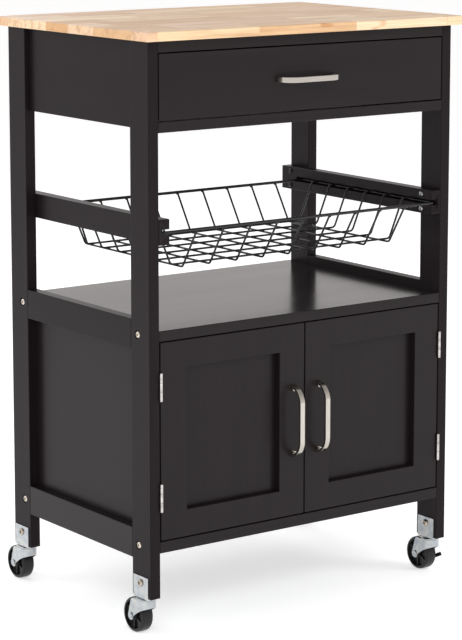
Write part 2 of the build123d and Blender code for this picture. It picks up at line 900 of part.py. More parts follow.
def caster_fork(name, centre_x, centre_y, axle_right):
    """Make a pressed fork with its race, pin and axle; axle_right is the axle's length past the middle."""
    axle_y = centre_y + caster_trail
    axle_left = fork_half_width + axle_head
    fork_low = wheel_radius - fork_boss_radius
    fork_back = caster_trail + fork_boss_radius
    skirt_foot = (centre_y - fork_half_width, crown_top - fork_front_skirt)
    boss_front = (axle_y - fork_boss_radius, wheel_radius)
    edge_middle = (
        (skirt_foot[0] + boss_front[0]) / 2 + fork_edge_sag,
        (skirt_foot[1] + boss_front[1]) / 2 + fork_edge_sag,
    )
    with BuildPart() as fork:
        with BuildSketch(Plane.XY.offset(fork_low)):
            with Locations((centre_x, centre_y)):
                Circle(fork_half_width)
            with Locations((centre_x, centre_y + fork_back / 2)):
                Rectangle(2 * fork_half_width, fork_back)
        extrude(amount=crown_top - fork_low)
        fillet(fork.faces().sort_by(Axis.Z)[-1].edges(), crown_round)
        with BuildSketch(Plane.XY.offset(fork_low)):
            with Locations((centre_x, centre_y)):
                Circle(fork_half_inner)
            with Locations((centre_x, centre_y + fork_back)):
                Rectangle(2 * fork_half_inner, 2 * fork_back)
        extrude(amount=crown_bottom - fork_low, mode=Mode.SUBTRACT)
        with BuildSketch(Plane.YZ.offset(centre_x - fork_half_width)):
            with BuildLine():
                Line((skirt_foot[0], crown_top), skirt_foot)
                ThreePointArc(skirt_foot, edge_middle, boss_front)
                CenterArc((axle_y, wheel_radius), fork_boss_radius, 180, 180)
                Polyline(
                    (axle_y + fork_boss_radius, wheel_radius),
                    (centre_y + fork_heel_back, crown_top - fork_heel_drop),
                    (centre_y + fork_half_width, crown_top),
                    (skirt_foot[0], crown_top),
                )
            make_face()
        extrude(amount=2 * fork_half_width, mode=Mode.INTERSECT)
        with BuildSketch(Plane.XY.offset(crown_top)):
            with Locations((centre_x, centre_y)):
                Circle(race_radius)
        extrude(amount=race_height)
        fillet(fork.faces().sort_by(Axis.Z)[-1].edges(), race_round)
        with BuildSketch(Plane.XY.offset(crown_bottom)):
            with Locations((centre_x, centre_y)):
                Circle(swivel_pin_radius)
        extrude(amount=leg_bottom - hole_clearance - crown_bottom)
        with BuildSketch(Plane.YZ.offset(centre_x - axle_left)):
            with Locations((axle_y, wheel_radius)):
                Circle(axle_radius)
        extrude(amount=axle_left + axle_right)
        for head_x in (centre_x - axle_left, centre_x + axle_right - axle_head):
            with BuildSketch(Plane.YZ.offset(head_x)):
                with Locations((axle_y, wheel_radius)):
                    Circle(axle_head_radius)
            extrude(amount=axle_head)
    save(fork, name)


def caster_wheel(name, centre_x, centre_y):
    """Make a solid wheel with a dished web and a bored hub."""
    half_width = wheel_width / 2
    rim_inside = wheel_radius - wheel_rim_depth
    bore = axle_radius + fit_clearance
    spin = Plane(origin=(centre_x, centre_y + caster_trail, wheel_radius), x_dir=(1, 0, 0), z_dir=(0, -1, 0))
    with BuildPart() as wheel:
        with BuildSketch(spin):
            with BuildLine():
                Polyline(
                    (-half_width, bore),
                    (-half_width, wheel_hub_radius),
                    (-wheel_web / 2, wheel_hub_radius),
                    (-wheel_web / 2, rim_inside),
                    (-half_width, rim_inside),
                    (-half_width, wheel_radius),
                    (half_width, wheel_radius),
                    (half_width, rim_inside),
                    (wheel_web / 2, rim_inside),
                    (wheel_web / 2, wheel_hub_radius),
                    (half_width, wheel_hub_radius),
                    (half_width, bore),
                    close=True,
                )
            make_face()
        revolve(axis=Axis(spin.origin, spin.x_dir))
        tread_edges = wheel.edges().filter_by(GeomType.CIRCLE).group_by(SortBy.RADIUS)[-1]
        fillet(tread_edges, wheel_shoulder)
    save(wheel, name)


def brake_lever(name, centre_x, centre_y):
    """Make a flat foot lever that turns on the axle's end, outside the fork."""
    axle_y = centre_y + caster_trail
    dip_y = axle_y - lever_reach
    dip_z = wheel_radius - lever_dip
    with BuildPart() as lever:
        with BuildSketch(Plane.YZ.offset(centre_x + fork_half_width + running_gap)):
            with BuildLine():
                Polyline(
                    (axle_y, wheel_radius),
                    (dip_y, dip_z),
                    (dip_y - lever_tip_length, dip_z + lever_tip_rise),
                )
            trace(line_width=lever_bar)
            with Locations((axle_y, wheel_radius)):
                Circle(lever_hub_radius)
                Circle(axle_radius + fit_clearance, mode=Mode.SUBTRACT)
        extrude(amount=lever_thickness)
    save(lever, name)


# Casters: the pair on the right has a brake lever outside the fork
plain_axle_right = fork_half_width + axle_head
lever_axle_right = plain_axle_right + lever_thickness + 2 * running_gap
for place, swivel_x, swivel_y in caster_places:
    caster_wheel(f"wheel_{place}", swivel_x, swivel_y)
    if swivel_x > 0:
        caster_fork(f"fork_{place}", swivel_x, swivel_y, lever_axle_right)
        brake_lever(f"brake_lever_{place}", swivel_x, swivel_y)
    else:
        caster_fork(f"fork_{place}", swivel_x, swivel_y, plain_axle_right)
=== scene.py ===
import json
import logging
import math
from dataclasses import dataclass, field
from enum import Enum
from typing import Any, Iterable, Sequence

import bmesh
import bpy
from mathutils import Matrix, Vector

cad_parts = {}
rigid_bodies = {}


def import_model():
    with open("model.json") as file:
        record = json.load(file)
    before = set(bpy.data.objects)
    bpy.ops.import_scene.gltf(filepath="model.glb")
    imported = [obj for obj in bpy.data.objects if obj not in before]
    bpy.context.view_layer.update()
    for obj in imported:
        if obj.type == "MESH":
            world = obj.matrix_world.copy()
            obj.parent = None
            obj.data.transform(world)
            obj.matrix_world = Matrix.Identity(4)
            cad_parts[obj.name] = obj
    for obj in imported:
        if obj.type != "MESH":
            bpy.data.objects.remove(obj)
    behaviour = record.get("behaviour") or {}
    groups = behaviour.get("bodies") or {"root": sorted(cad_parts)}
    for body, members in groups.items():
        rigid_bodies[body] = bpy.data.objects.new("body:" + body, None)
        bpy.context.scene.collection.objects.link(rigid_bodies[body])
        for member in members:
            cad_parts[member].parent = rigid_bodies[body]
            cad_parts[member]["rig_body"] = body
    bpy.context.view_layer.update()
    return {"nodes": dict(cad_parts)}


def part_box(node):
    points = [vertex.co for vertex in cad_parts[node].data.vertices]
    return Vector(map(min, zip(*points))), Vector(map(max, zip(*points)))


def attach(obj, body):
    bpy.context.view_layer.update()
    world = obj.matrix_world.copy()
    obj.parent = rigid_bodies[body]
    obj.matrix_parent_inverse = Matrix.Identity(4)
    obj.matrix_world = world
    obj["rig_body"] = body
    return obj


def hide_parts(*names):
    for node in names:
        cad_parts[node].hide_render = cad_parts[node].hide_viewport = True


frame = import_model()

log = logging.getLogger("kitchen_cart")

Mesh = bpy.types.Mesh
Object = bpy.types.Object
Material = bpy.types.Material
Socket = bpy.types.NodeSocket
Point = tuple[float, float, float]
Colour = tuple[float, float, float, float]
Span = tuple[float, float]
Seat = tuple[Point, Point]

# Lengths are in metres. The legs stand at plus and minus LEG_X and LEG_Y.
WELD_DISTANCE = 2e-6
ON_AXIS = 1e-9
FLAT_DEG = 1.0
SHARP_DEG = 28.0
CREASE_DEG = 40.0
FULL_TURN = 2 * math.pi
LEG_X = 0.26125
LEG_Y = 0.16025
ENDS = (-1, 1)


class Axis(Enum):
    """A direction of the cart's frame, along which grain or brushing runs."""

    X = 0
    Y = 1
    Z = 2

    def stretch(self, along: float, across: float) -> Point:
        """Return a pattern's scale, slow along this direction and fast across it."""
        scale = [across, across, across]
        scale[self.value] = along
        return tuple(scale)


class Recess(Enum):
    """The drive in a screw's head."""

    CROSS = "cross"
    HEXAGON = "hexagon"


class NodeSketch:
    """A node tree that is drawn node by node."""

    def __init__(self, tree: bpy.types.NodeTree) -> None:
        """Draw in a tree.

        Args:
            tree: The tree.
        """
        self.tree = tree

    def node(self, kind: str, inputs: dict[Any, Any], **settings: Any) -> bpy.types.Node:
        """Add a node.

        Args:
            kind: The node's type.
            inputs: Socket name or number to a constant, another node's output or a node.
            **settings: The node's own properties.

        Returns:
            The new node.
        """
        made = self.tree.nodes.new(kind)
        for key, value in settings.items():
            setattr(made, key, value)
        for key, value in inputs.items():
            self.feed(made.inputs[key], value)
        return made

    def feed(self, socket: Socket, value: Any) -> None:
        """Link a socket to an output or to a node's first output, or set it to a constant."""
        if isinstance(value, bpy.types.Node):
            value = value.outputs[0]
        if isinstance(value, Socket):
            self.tree.links.new(value, socket)
        else:
            socket.default_value = value


class ShaderSketch(NodeSketch):
    """A procedural material round one shader."""

    def __init__(self, name: str) -> None:
        """Start an empty material.

        Args:
            name: The material's name.
        """
        self.material = bpy.data.materials.new(name)
        self.material.use_nodes = True
        super().__init__(self.material.node_tree)
        self.tree.nodes.clear()
        output = self.tree.nodes.new("ShaderNodeOutputMaterial")
        self.shader = self.tree.nodes.new("ShaderNodeBsdfPrincipled")
        self.tree.links.new(self.shader.outputs["BSDF"], output.inputs["Surface"])
        coordinates = self.tree.nodes.new("ShaderNodeTexCoord")
        self.place = coordinates.outputs["Object"]
        self.facing = coordinates.outputs["Normal"]

    def stretched(self, scale: Point, shift: Any = (0.0, 0.0, 0.0)) -> Socket:
        """Return Object coordinates times a scale plus a shift."""
        inputs = {0: self.place, 1: scale, 2: shift}
        return self.node("ShaderNodeVectorMath", inputs, operation="MULTIPLY_ADD").outputs["Vector"]

    def noise(self, where: Any, scale: float = 1.0, detail: float = 4.0, rough: float = 0.55) -> Socket:
        """Return a noise value from 0 to 1 at the coordinates given."""
        inputs = {"Vector": where, "Scale": scale, "Detail": detail, "Roughness": rough}
        return self.node("ShaderNodeTexNoise", inputs).outputs["Fac"]

    def levels(self, value: Any, low: float, high: float, source: Span = (0.0, 1.0)) -> Any:
        """Return a value brought from one range to another, and held inside it."""
        names = ("Value", "From Min", "From Max", "To Min", "To Max")
        inputs = dict(zip(names, (value, *source, low, high)))
        return self.node("ShaderNodeMapRange", inputs, clamp=True).outputs["Result"]

    def maths(self, operation: str, first: Any, second: Any = 0.0) -> Socket:
        """Return the result of one sum on two values."""
        return self.node("ShaderNodeMath", {0: first, 1: second}, operation=operation).outputs["Value"]

    def mixed(self, factor: Any, first: Any, second: Any) -> Socket:
        """Return a colour between two colours."""
        return self.node("ShaderNodeMix", {0: factor, 6: first, 7: second}, data_type="RGBA").outputs[2]

    def toned(
        self, pattern: Any, first: Any, second: Any, window: Span = (0.0, 1.0), strength: float = 1.0
    ) -> Socket:
        """Return a colour that turns from one to another where a pattern rises through a window."""
        return self.mixed(self.levels(pattern, 0.0, strength, window), first, second)

    def ramp(self, value: Any, stops: Sequence[tuple[float, Colour]]) -> Socket:
        """Return a colour read off a ramp of stops."""
        made = self.node("ShaderNodeValToRGB", {"Fac": value})
        elements = made.color_ramp.elements
        elements[0].position, elements[0].color = stops[0]
        elements[1].position, elements[1].color = stops[-1]
        for position, colour in stops[1:-1]:
            elements.new(position).color = colour
        return made.outputs["Color"]

    def finished(self, height: Any, relief: Span, **values: Any) -> Material:
        """Set the shader, raise its surface and return the material.

        Args:
            height: The pattern of the relief.
            relief: How much of it shows, and the height of a full step.
            **values: The shader's sockets by their names, with underscores for blanks.

        Returns:
            The material.
        """
        strength, depth = relief
        made = self.node("ShaderNodeBump", {"Height": height, "Strength": strength, "Distance": depth})
        self.set(**values, Normal=made)
        return self.material

    def set(self, **values: Any) -> None:
        """Set the shader's sockets by their names, with underscores for blanks."""
        for key, value in values.items():
            self.feed(self.shader.inputs[key.replace("_", " ")], value)


def shade(red: float, green: float, blue: float) -> Colour:
    """Return an opaque linear colour."""
    return (red, green, blue, 1.0)


@dataclass(frozen=True)
class GrainLayer:
    """One pattern in wood: how it is stretched, and how far its colour shows where it is strong."""

    scale: Point
    colour: Colour
    strength: float
    window: Span
    detail: float
    rough: float = 0.55

    def pattern(self, sketch: ShaderSketch, jump: Socket) -> Socket:
        """Return the pattern's value, moved by each stave's own jump."""
        return sketch.noise(sketch.stretched(self.scale, jump), detail=self.detail, rough=self.rough)

    def over(self, sketch: ShaderSketch, pattern: Socket, tint: Any) -> Socket:
        """Return a tint with this layer's colour laid over it."""
        return sketch.toned(pattern, tint, self.colour, self.window, self.strength)


@dataclass(frozen=True)
class StaveWood:
    """Light hardwood glued up from finger-jointed staves of unequal width that run across the cart."""

    depth: float = 0.412
    joints: tuple[float, ...] = (-0.206, -0.163, -0.069, -0.002, 0.055, 0.123, 0.162, 0.206)
    row: float = 0.05
    block_length: float = 0.118
    block_shift: float = 2.085
    joint_width: float = 0.00045
    lot_jump: Point = (17.0, 9.0, 13.0)
    cream: Colour = shade(0.89, 0.695, 0.465)
    rose: Colour = shade(0.77, 0.525, 0.355)
    straw: Colour = shade(0.77, 0.535, 0.31)
    honey: Colour = shade(0.67, 0.42, 0.21)
    amber: Colour = shade(0.63, 0.35, 0.15)
    glue: Colour = shade(0.47, 0.285, 0.145)
    streak: Colour = shade(0.48, 0.275, 0.140)
    pore: Colour = shade(0.52, 0.315, 0.155)
    knot: Colour = shade(0.50, 0.225, 0.075)
    figure: GrainLayer = GrainLayer(Axis.X.stretch(4.5, 75.0), streak, 0.75, (0.48, 0.67), 5.0, 0.6)
    fibre: GrainLayer = GrainLayer(Axis.X.stretch(10.0, 300.0), amber, 0.46, (0.44, 0.70), 5.0, 0.62)
    pores: GrainLayer = GrainLayer(Axis.X.stretch(110.0, 1700.0), pore, 0.40, (0.62, 0.72), 2.0)
    knots: GrainLayer = GrainLayer(Axis.X.stretch(22.0, 70.0), knot, 0.70, (0.69, 0.77), 1.0)
    ring_strength: float = 0.30
    ring_slant: Point = (0.0, 1.0, 0.45)
    end_window: Span = (0.7, 0.8)
    glue_strength: float = 0.5
    rough: Span = (0.30, 0.42)
    joint_sink: float = -1.4
    relief: Span = (0.2, 0.0002)

    def _stave_rows(self, sketch: ShaderSketch) -> Socket:
        """Return how far a place lies across the staves, counted so that every stave is one row high."""
        across = sketch.node("ShaderNodeSeparateXYZ", {0: sketch.place}).outputs[1]
        half = self.depth / 2
        share = sketch.levels(across, 0.0, 1.0, (-half, half))
        curve = sketch.node("ShaderNodeFloatCurve", {"Value": share})
        points = curve.mapping.curves[0].points
        last = len(self.joints) - 1
        for index, joint in enumerate(self.joints[1:-1], start=1):
            points.new((joint + half) / self.depth, index / last)
        for point in points:
            point.handle_type = "VECTOR"
        curve.mapping.update()
        return sketch.maths("MULTIPLY", curve, last * self.row)

    def material(self) -> Material:
        """Return the worktop's material."""
        sketch = ShaderSketch("stave_wood")
        along = sketch.node("ShaderNodeSeparateXYZ", {0: sketch.place}).outputs[0]
        shifted = sketch.maths("ADD", along, self.block_shift)
        cell = sketch.node("ShaderNodeCombineXYZ", {0: shifted, 1: self._stave_rows(sketch)})
        bricks = sketch.node(
            "ShaderNodeTexBrick",
            {
                "Vector": cell,
                "Color1": shade(0.0, 0.0, 0.0),
                "Color2": shade(1.0, 1.0, 1.0),
                "Mortar": shade(0.5, 0.5, 0.5),
                "Scale": 1.0,
                "Mortar Size": self.joint_width,
                "Mortar Smooth": 0.5,
                "Brick Width": self.block_length,
                "Row Height": self.row,
            },
            offset=0.37,
            squash=1.45,
            squash_frequency=3,
        )
        joint = bricks.outputs["Fac"]
        lot = sketch.node("ShaderNodeSeparateColor", {0: bricks}).outputs[0]
        inputs = {0: lot, 1: self.lot_jump}
        jump = sketch.node("ShaderNodeVectorMath", inputs, operation="MULTIPLY").outputs[0]
        fibre = self.fibre.pattern(sketch, jump)
        lots_of_wood = [
            (0.0, self.honey), (0.14, self.rose), (0.30, self.cream), (0.44, self.amber),
            (0.56, self.cream), (0.72, self.straw), (0.86, self.rose), (1.0, self.honey),
        ]
        tint = self.figure.over(sketch, self.figure.pattern(sketch, jump), sketch.ramp(lot, lots_of_wood))
        tint = self.fibre.over(sketch, fibre, tint)
        for layer in (self.pores, self.knots):
            tint = layer.over(sketch, layer.pattern(sketch, jump), tint)
        rings = sketch.node(
            "ShaderNodeTexWave",
            {
                "Vector": sketch.stretched(self.ring_slant, jump),
                "Scale": 150.0,
                "Distortion": 4.0,
                "Detail": 2.0,
                "Detail Scale": 1.5,
            },
            wave_type="BANDS",
            bands_direction="Y",
        )
        end = sketch.toned(rings.outputs["Fac"], tint, self.amber, strength=self.ring_strength)
        sideways = sketch.node("ShaderNodeSeparateXYZ", {0: sketch.facing}).outputs[0]
        tint = sketch.toned(sketch.maths("ABSOLUTE", sideways), tint, end, self.end_window)
        return sketch.finished(
            sketch.maths("ADD", fibre, sketch.maths("MULTIPLY", joint, self.joint_sink)),
            self.relief,
            Base_Color=sketch.toned(joint, tint, self.glue, strength=self.glue_strength),
            Roughness=sketch.levels(fibre, *self.rough),
            Specular_IOR_Level=0.45,
        )


@dataclass(frozen=True)
class BlackPaint:
    """Satin near-black paint over wood whose grain just shows."""

    grain: Axis
    name: str = "black_paint"
    base: Colour = shade(0.0088, 0.0064, 0.0074)
    worn: Colour = shade(0.0122, 0.0092, 0.0103)
    rough: Span = (0.29, 0.37)
    gloss: float = 0.20
    relief: Span = (0.30, 0.00012)
    sheen_tint: Colour = shade(1.0, 0.97, 0.96)
    streak_stretch: Span = (7.0, 330.0)
    broad_stretch: Span = (1.6, 26.0)
    spray_scale: float = 900.0
    streak_share: float = 0.6
    broad_share: float = 0.4
    spray_share: float = 0.25
    tone_window: Span = (0.36, 0.66)

    def material(self) -> Material:
        """Return the paint for boards whose grain runs this way."""
        sketch = ShaderSketch(f"{self.name}_{self.grain.name.lower()}")
        streaks = sketch.noise(
            sketch.stretched(self.grain.stretch(*self.streak_stretch)), detail=5.0, rough=0.6
        )
        broad = sketch.noise(sketch.stretched(self.grain.stretch(*self.broad_stretch)), detail=3.0)
        spray = sketch.noise(sketch.place, scale=self.spray_scale, detail=2.0)
        tone = sketch.maths(
            "ADD",
            sketch.maths("MULTIPLY", streaks, self.streak_share),
            sketch.maths("MULTIPLY", broad, self.broad_share),
        )
        return sketch.finished(
            sketch.maths("ADD", streaks, sketch.maths("MULTIPLY", spray, self.spray_share)),
            self.relief,
            Base_Color=sketch.toned(tone, self.base, self.worn, self.tone_window),
            Roughness=sketch.levels(broad, *self.rough),
            Specular_IOR_Level=self.gloss,
            Specular_Tint=self.sheen_tint,
        )


@dataclass(frozen=True)
class BrushedMetal:
    """Metal brushed or drawn along one direction."""

    brushing: Axis
    name: str = "brushed_nickel"
    bright: Colour = shade(0.66, 0.62, 0.57)
    dull: Colour = shade(0.42, 0.39, 0.35)
    rough: Span = (0.07, 0.15)
    line_stretch: Span = (30.0, 3200.0)
    cloud_scale: float = 70.0
    window: Span = (0.3, 0.7)
    cloud_rough: Span = (-0.03, 0.05)
    relief: Span = (0.18, 0.00004)

    def material(self) -> Material:
        """Return the metal's material."""
        sketch = ShaderSketch(f"{self.name}_{self.brushing.name.lower()}")
        stretched = sketch.stretched(self.brushing.stretch(*self.line_stretch))
        lines = sketch.noise(stretched, detail=3.0, rough=0.7)
        cloud = sketch.noise(sketch.place, scale=self.cloud_scale, detail=3.0)
        line_rough = sketch.levels(lines, *self.rough)
        cloud_rough = sketch.levels(cloud, *self.cloud_rough, self.window)
        return sketch.finished(
            lines,
            self.relief,
            Base_Color=sketch.toned(lines, self.dull, self.bright, self.window),
            Metallic=1.0,
            Roughness=sketch.maths("ADD", line_rough, cloud_rough),
            Anisotropic=0.35,
        )


@dataclass(frozen=True)
class ZincPlate:
    """Bright plating on pressed steel, bluish unless told otherwise."""

    name: str = "zinc_plate"
    cool: Colour = shade(0.40, 0.44, 0.48)
    warm: Colour = shade(0.56, 0.56, 0.55)
    rough: Span = (0.13, 0.24)
    cloud_scale: float = 95.0
    crystal_scale: float = 1400.0
    colour_window: Span = (0.35, 0.65)
    rough_window: Span = (0.7, 1.3)
    relief: Span = (0.12, 0.00005)

    def material(self) -> Material:
        """Return the plating's material."""
        sketch = ShaderSketch(self.name)
        cloud = sketch.noise(sketch.place, scale=self.cloud_scale, detail=4.0)
        crystal = sketch.noise(sketch.place, scale=self.crystal_scale, detail=2.0)
        return sketch.finished(
            crystal,
            self.relief,
            Base_Color=sketch.toned(cloud, self.cool, self.warm, self.colour_window),
            Metallic=1.0,
            Roughness=sketch.levels(sketch.maths("ADD", cloud, crystal), *self.rough, self.rough_window),
        )


@dataclass(frozen=True)
class BlackCoat:
    """A smooth black surface with paler patches over a fine relief, as moulded plastic or enamel has."""

    name: str
    base: Colour = shade(0.0072, 0.0070, 0.0074)
    patch: Colour = shade(0.022, 0.021, 0.021)
    patch_scale: float = 160.0
    patch_detail: float = 5.0
    patch_rough: float = 0.7
    patch_strength: float = 0.35
    window: Span = (0.52, 0.78)
    rough: Span = (0.28, 0.42)
    gloss: float = 0.32
    fine_scale: float = 2600.0
    relief: Span = (0.16, 0.00006)

    def material(self) -> Material:
        """Return the coat's material."""
        sketch = ShaderSketch(self.name)
        fine = sketch.noise(sketch.place, scale=self.fine_scale, detail=2.0)
        patches = sketch.noise(
            sketch.place, scale=self.patch_scale, detail=self.patch_detail, rough=self.patch_rough
        )
        return sketch.finished(
            fine,
            self.relief,
            Base_Color=sketch.toned(patches, self.base, self.patch, self.window, self.patch_strength),
            Roughness=sketch.levels(patches, *self.rough),
            Specular_IOR_Level=self.gloss,
        )


@dataclass(frozen=True)
class RunnerEnamel:
    """Grey baked enamel on rolled steel."""

    base: Colour = shade(0.50, 0.50, 0.49)
    rubbed: Colour = shade(0.38, 0.38, 0.38)
    stretch: Span = (9.0, 500.0)
    window: Span = (0.45, 0.7)
    rough: Span = (0.32, 0.45)
    relief: Span = (0.1, 0.00005)

    def material(self) -> Material:
        """Return the enamel's material."""
        sketch = ShaderSketch("runner_enamel")
        rub = sketch.noise(sketch.stretched(Axis.Y.stretch(*self.stretch)), detail=3.0)
        return sketch.finished(
            rub,
            self.relief,
            Base_Color=sketch.toned(rub, self.base, self.rubbed, self.window),
            Roughness=sketch.levels(rub, *self.rough),
        )


class GeometrySketch(NodeSketch):
    """A geometry node tree with named inputs for its finish and sizes."""

    def __init__(self, name: str) -> None:
        """Start a tree with a geometry input and output.

        Args:
            name: The tree's name.
        """
        super().__init__(bpy.data.node_groups.new(name, "GeometryNodeTree"))
        self.start = self.tree.nodes.new("NodeGroupInput")
        self.end = self.tree.nodes.new("NodeGroupOutput")
        self.tree.interface.new_socket("Geometry", in_out="INPUT", socket_type="NodeSocketGeometry")
        self.tree.interface.new_socket("Geometry", in_out="OUTPUT", socket_type="NodeSocketGeometry")
        self.identifiers: dict[str, str] = {}
        self.finish = self.entry("Finish", "Material")

    def entry(self, name: str, kind: str) -> Socket:
        """Add a named input.

        Args:
            name: The input's name.
            kind: What it holds, such as Float, Int, Object or Material.

        Returns:
            The socket that carries it in the tree.
        """
        made = self.tree.interface.new_socket(name, in_out="INPUT", socket_type=f"NodeSocket{kind}")
        self.identifiers[name] = made.identifier
        return self.start.outputs[name]

    def close(self, geometry: bpy.types.Node) -> None:
        """End the tree in real geometry that carries its finish."""
        real = self.node("GeometryNodeRealizeInstances", {"Geometry": geometry})
        dressed = self.node("GeometryNodeSetMaterial", {"Geometry": real, "Material": self.finish})
        self.feed(self.end.inputs["Geometry"], dressed)

    def grow(self, seed: Object, **values: Any) -> Mesh:
        """Run the tree on a seed object, and remove the seed.

        Args:
            seed: The object whose mesh goes in.
            **values: A value for each named input, with underscores for blanks.

        Returns:
            The plain mesh that comes out.
        """
        modifier = seed.modifiers.new("grown", "NODES")
        modifier.node_group = self.tree
        for key, value in values.items():
            modifier[self.identifiers[key.replace("_", " ")]] = value
        mesh = frozen(seed)
        seed.modifiers.remove(modifier)
        discard(seed)
        return mesh


def frozen(obj: Object) -> Mesh:
    """Return an object's mesh as its modifiers leave it."""
    bpy.context.view_layer.update()
    graph = bpy.context.evaluated_depsgraph_get()
    return bpy.data.meshes.new_from_object(obj.evaluated_get(graph), depsgraph=graph)


def discard(obj: Object) -> None:
    """Remove an object and the mesh that only it used."""
    mesh = obj.data
    bpy.data.objects.remove(obj)
    if mesh.users == 0:
        bpy.data.meshes.remove(mesh)


def shown(name: str, data: bpy.types.ID) -> Object:
    """Return a new object in the scene that holds a mesh, a light or a camera."""
    obj = bpy.data.objects.new(name, data)
    bpy.context.scene.collection.objects.link(obj)
    return obj


def seed_object(points: Sequence[Point], edges: Iterable[tuple[int, int]] = ()) -> Object:
    """Return an object of bare points and edges for a geometry node tree to grow from."""
    mesh = bpy.data.meshes.new("seed")
    mesh.from_pydata([tuple(point) for point in points], list(edges), [])
    return shown("seed", mesh)


def smooth(mesh: Mesh, angle_deg: float) -> None:
    """Shade a mesh smooth, with creases where its faces turn by more than an angle."""
    mesh.shade_smooth()
    mesh.set_sharp_from_angle(angle=math.radians(angle_deg))


def weighted(mesh: Mesh) -> Mesh:
    """Return a mesh whose broad faces stay flat up to their rounded edges."""
    name = mesh.name
    holder = shown("weighting", mesh)
    modifier = holder.modifiers.new("weighted", "WEIGHTED_NORMAL")
    modifier.mode, modifier.weight, modifier.keep_sharp = "FACE_AREA", 100, True
    result = frozen(holder)
    holder.modifiers.remove(modifier)
    discard(holder)
    result.name = name
    return result


def joined(meshes: Sequence[Mesh], name: str) -> Mesh:
    """Return one mesh made of several, whose first material it keeps."""
    whole = bpy.data.meshes.new(name)
    work = bmesh.new()
    for mesh in meshes:
        work.from_mesh(mesh)
    work.to_mesh(whole)
    work.free()
    whole.materials.append(meshes[0].materials[0])
    for mesh in meshes:
        bpy.data.meshes.remove(mesh)
    return whole


def round_points(radius: float, steps: int) -> list[Span]:
    """Return points evenly spaced on a circle about zero."""
    turns = [FULL_TURN * step / steps for step in range(steps)]
    return [(radius * math.cos(turn), radius * math.sin(turn)) for turn in turns]


def lathe(profile: Sequence[Span], steps: int) -> bmesh.types.BMesh:
    """Return a closed solid of revolution about Z.

    Args:
        profile: Radius and height of each point, in order round a closed outline or from pole to pole.
        steps: How many sides the solid has.

    Returns:
        The solid, to be freed by the caller.
    """
    work = bmesh.new()
    rings = []
    for radius, height in profile:
        places = round_points(radius, steps) if radius > ON_AXIS else [(0.0, 0.0)]
        rings.append([work.verts.new((x, y, height)) for x, y in places])
    pairs = list(zip(rings, rings[1:]))
    if len(rings[0]) > 1 and len(rings[-1]) > 1:
        pairs.append((rings[-1], rings[0]))
    for low, high in pairs:
        for step in range(steps):
            after = (step + 1) % steps
            lower = [low[step % len(low)], low[after % len(low)]]
            upper = [high[after % len(high)], high[step % len(high)]]
            work.faces.new(list(dict.fromkeys(lower + upper)))
    bmesh.ops.recalc_face_normals(work, faces=work.faces)
    return work


def to_mesh(work: bmesh.types.BMesh, name: str) -> Mesh:
    """Return a plain mesh from a bmesh, which is freed."""
    mesh = bpy.data.meshes.new(name)
    work.to_mesh(mesh)
    work.free()
    return mesh


def dress(mesh: Mesh, material: Material) -> None:
    """Give a mesh one material."""
    mesh.materials.clear()
    mesh.materials.append(material)


def place(name: str, mesh: Mesh, body: str, nodes: Sequence[str]) -> Object:
    """Put a finished piece on its body.

    Args:
        name: The piece's name.
        mesh: Its mesh, already where it belongs.
        body: The body that it rides on.
        nodes: The solids that it stands for.

    Returns:
        The piece.
    """
    piece = shown(name, mesh)
    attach(piece, body)
    if nodes:
        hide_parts(*nodes)
    log.info("%s on %s: %d faces", name, body, len(mesh.polygons))
    return piece


def body_of(node: str) -> str:
    """Return the body that a solid belongs to."""
    return frame["nodes"][node]["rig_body"]


def eased_copy(node: str, width: float, material: Material, least_run: float = 0.0) -> Object:
    """Stand a copy of a solid, with its sharp edges rounded, in the solid's place.

    Args:
        node: The solid.
        width: How far each rounding reaches from its edge.
        material: The copy's material.
        least_run: The least length of an edge that is rounded.

    Returns:
        The piece.
    """
    work = bmesh.new()
    work.from_mesh(frame["nodes"][node].data)
    bmesh.ops.remove_doubles(work, verts=work.verts, dist=WELD_DISTANCE)
    bmesh.ops.dissolve_limit(work, angle_limit=math.radians(FLAT_DEG), verts=work.verts, edges=work.edges)
    if width > 0:
        sharp = [
            edge
            for edge in work.edges
            if edge.is_manifold
            and edge.calc_face_angle(0.0) > math.radians(SHARP_DEG)
            and edge.calc_length() >= least_run
        ]
        bmesh.ops.bevel(
            work, geom=sharp, offset=width, segments=2, profile=0.6, affect="EDGES", clamp_overlap=True
        )
    mesh = to_mesh(work, f"{node}_eased")
    smooth(mesh, CREASE_DEG)
    dress(mesh, material)
    return place(f"{node}_eased", weighted(mesh), body_of(node), [node])


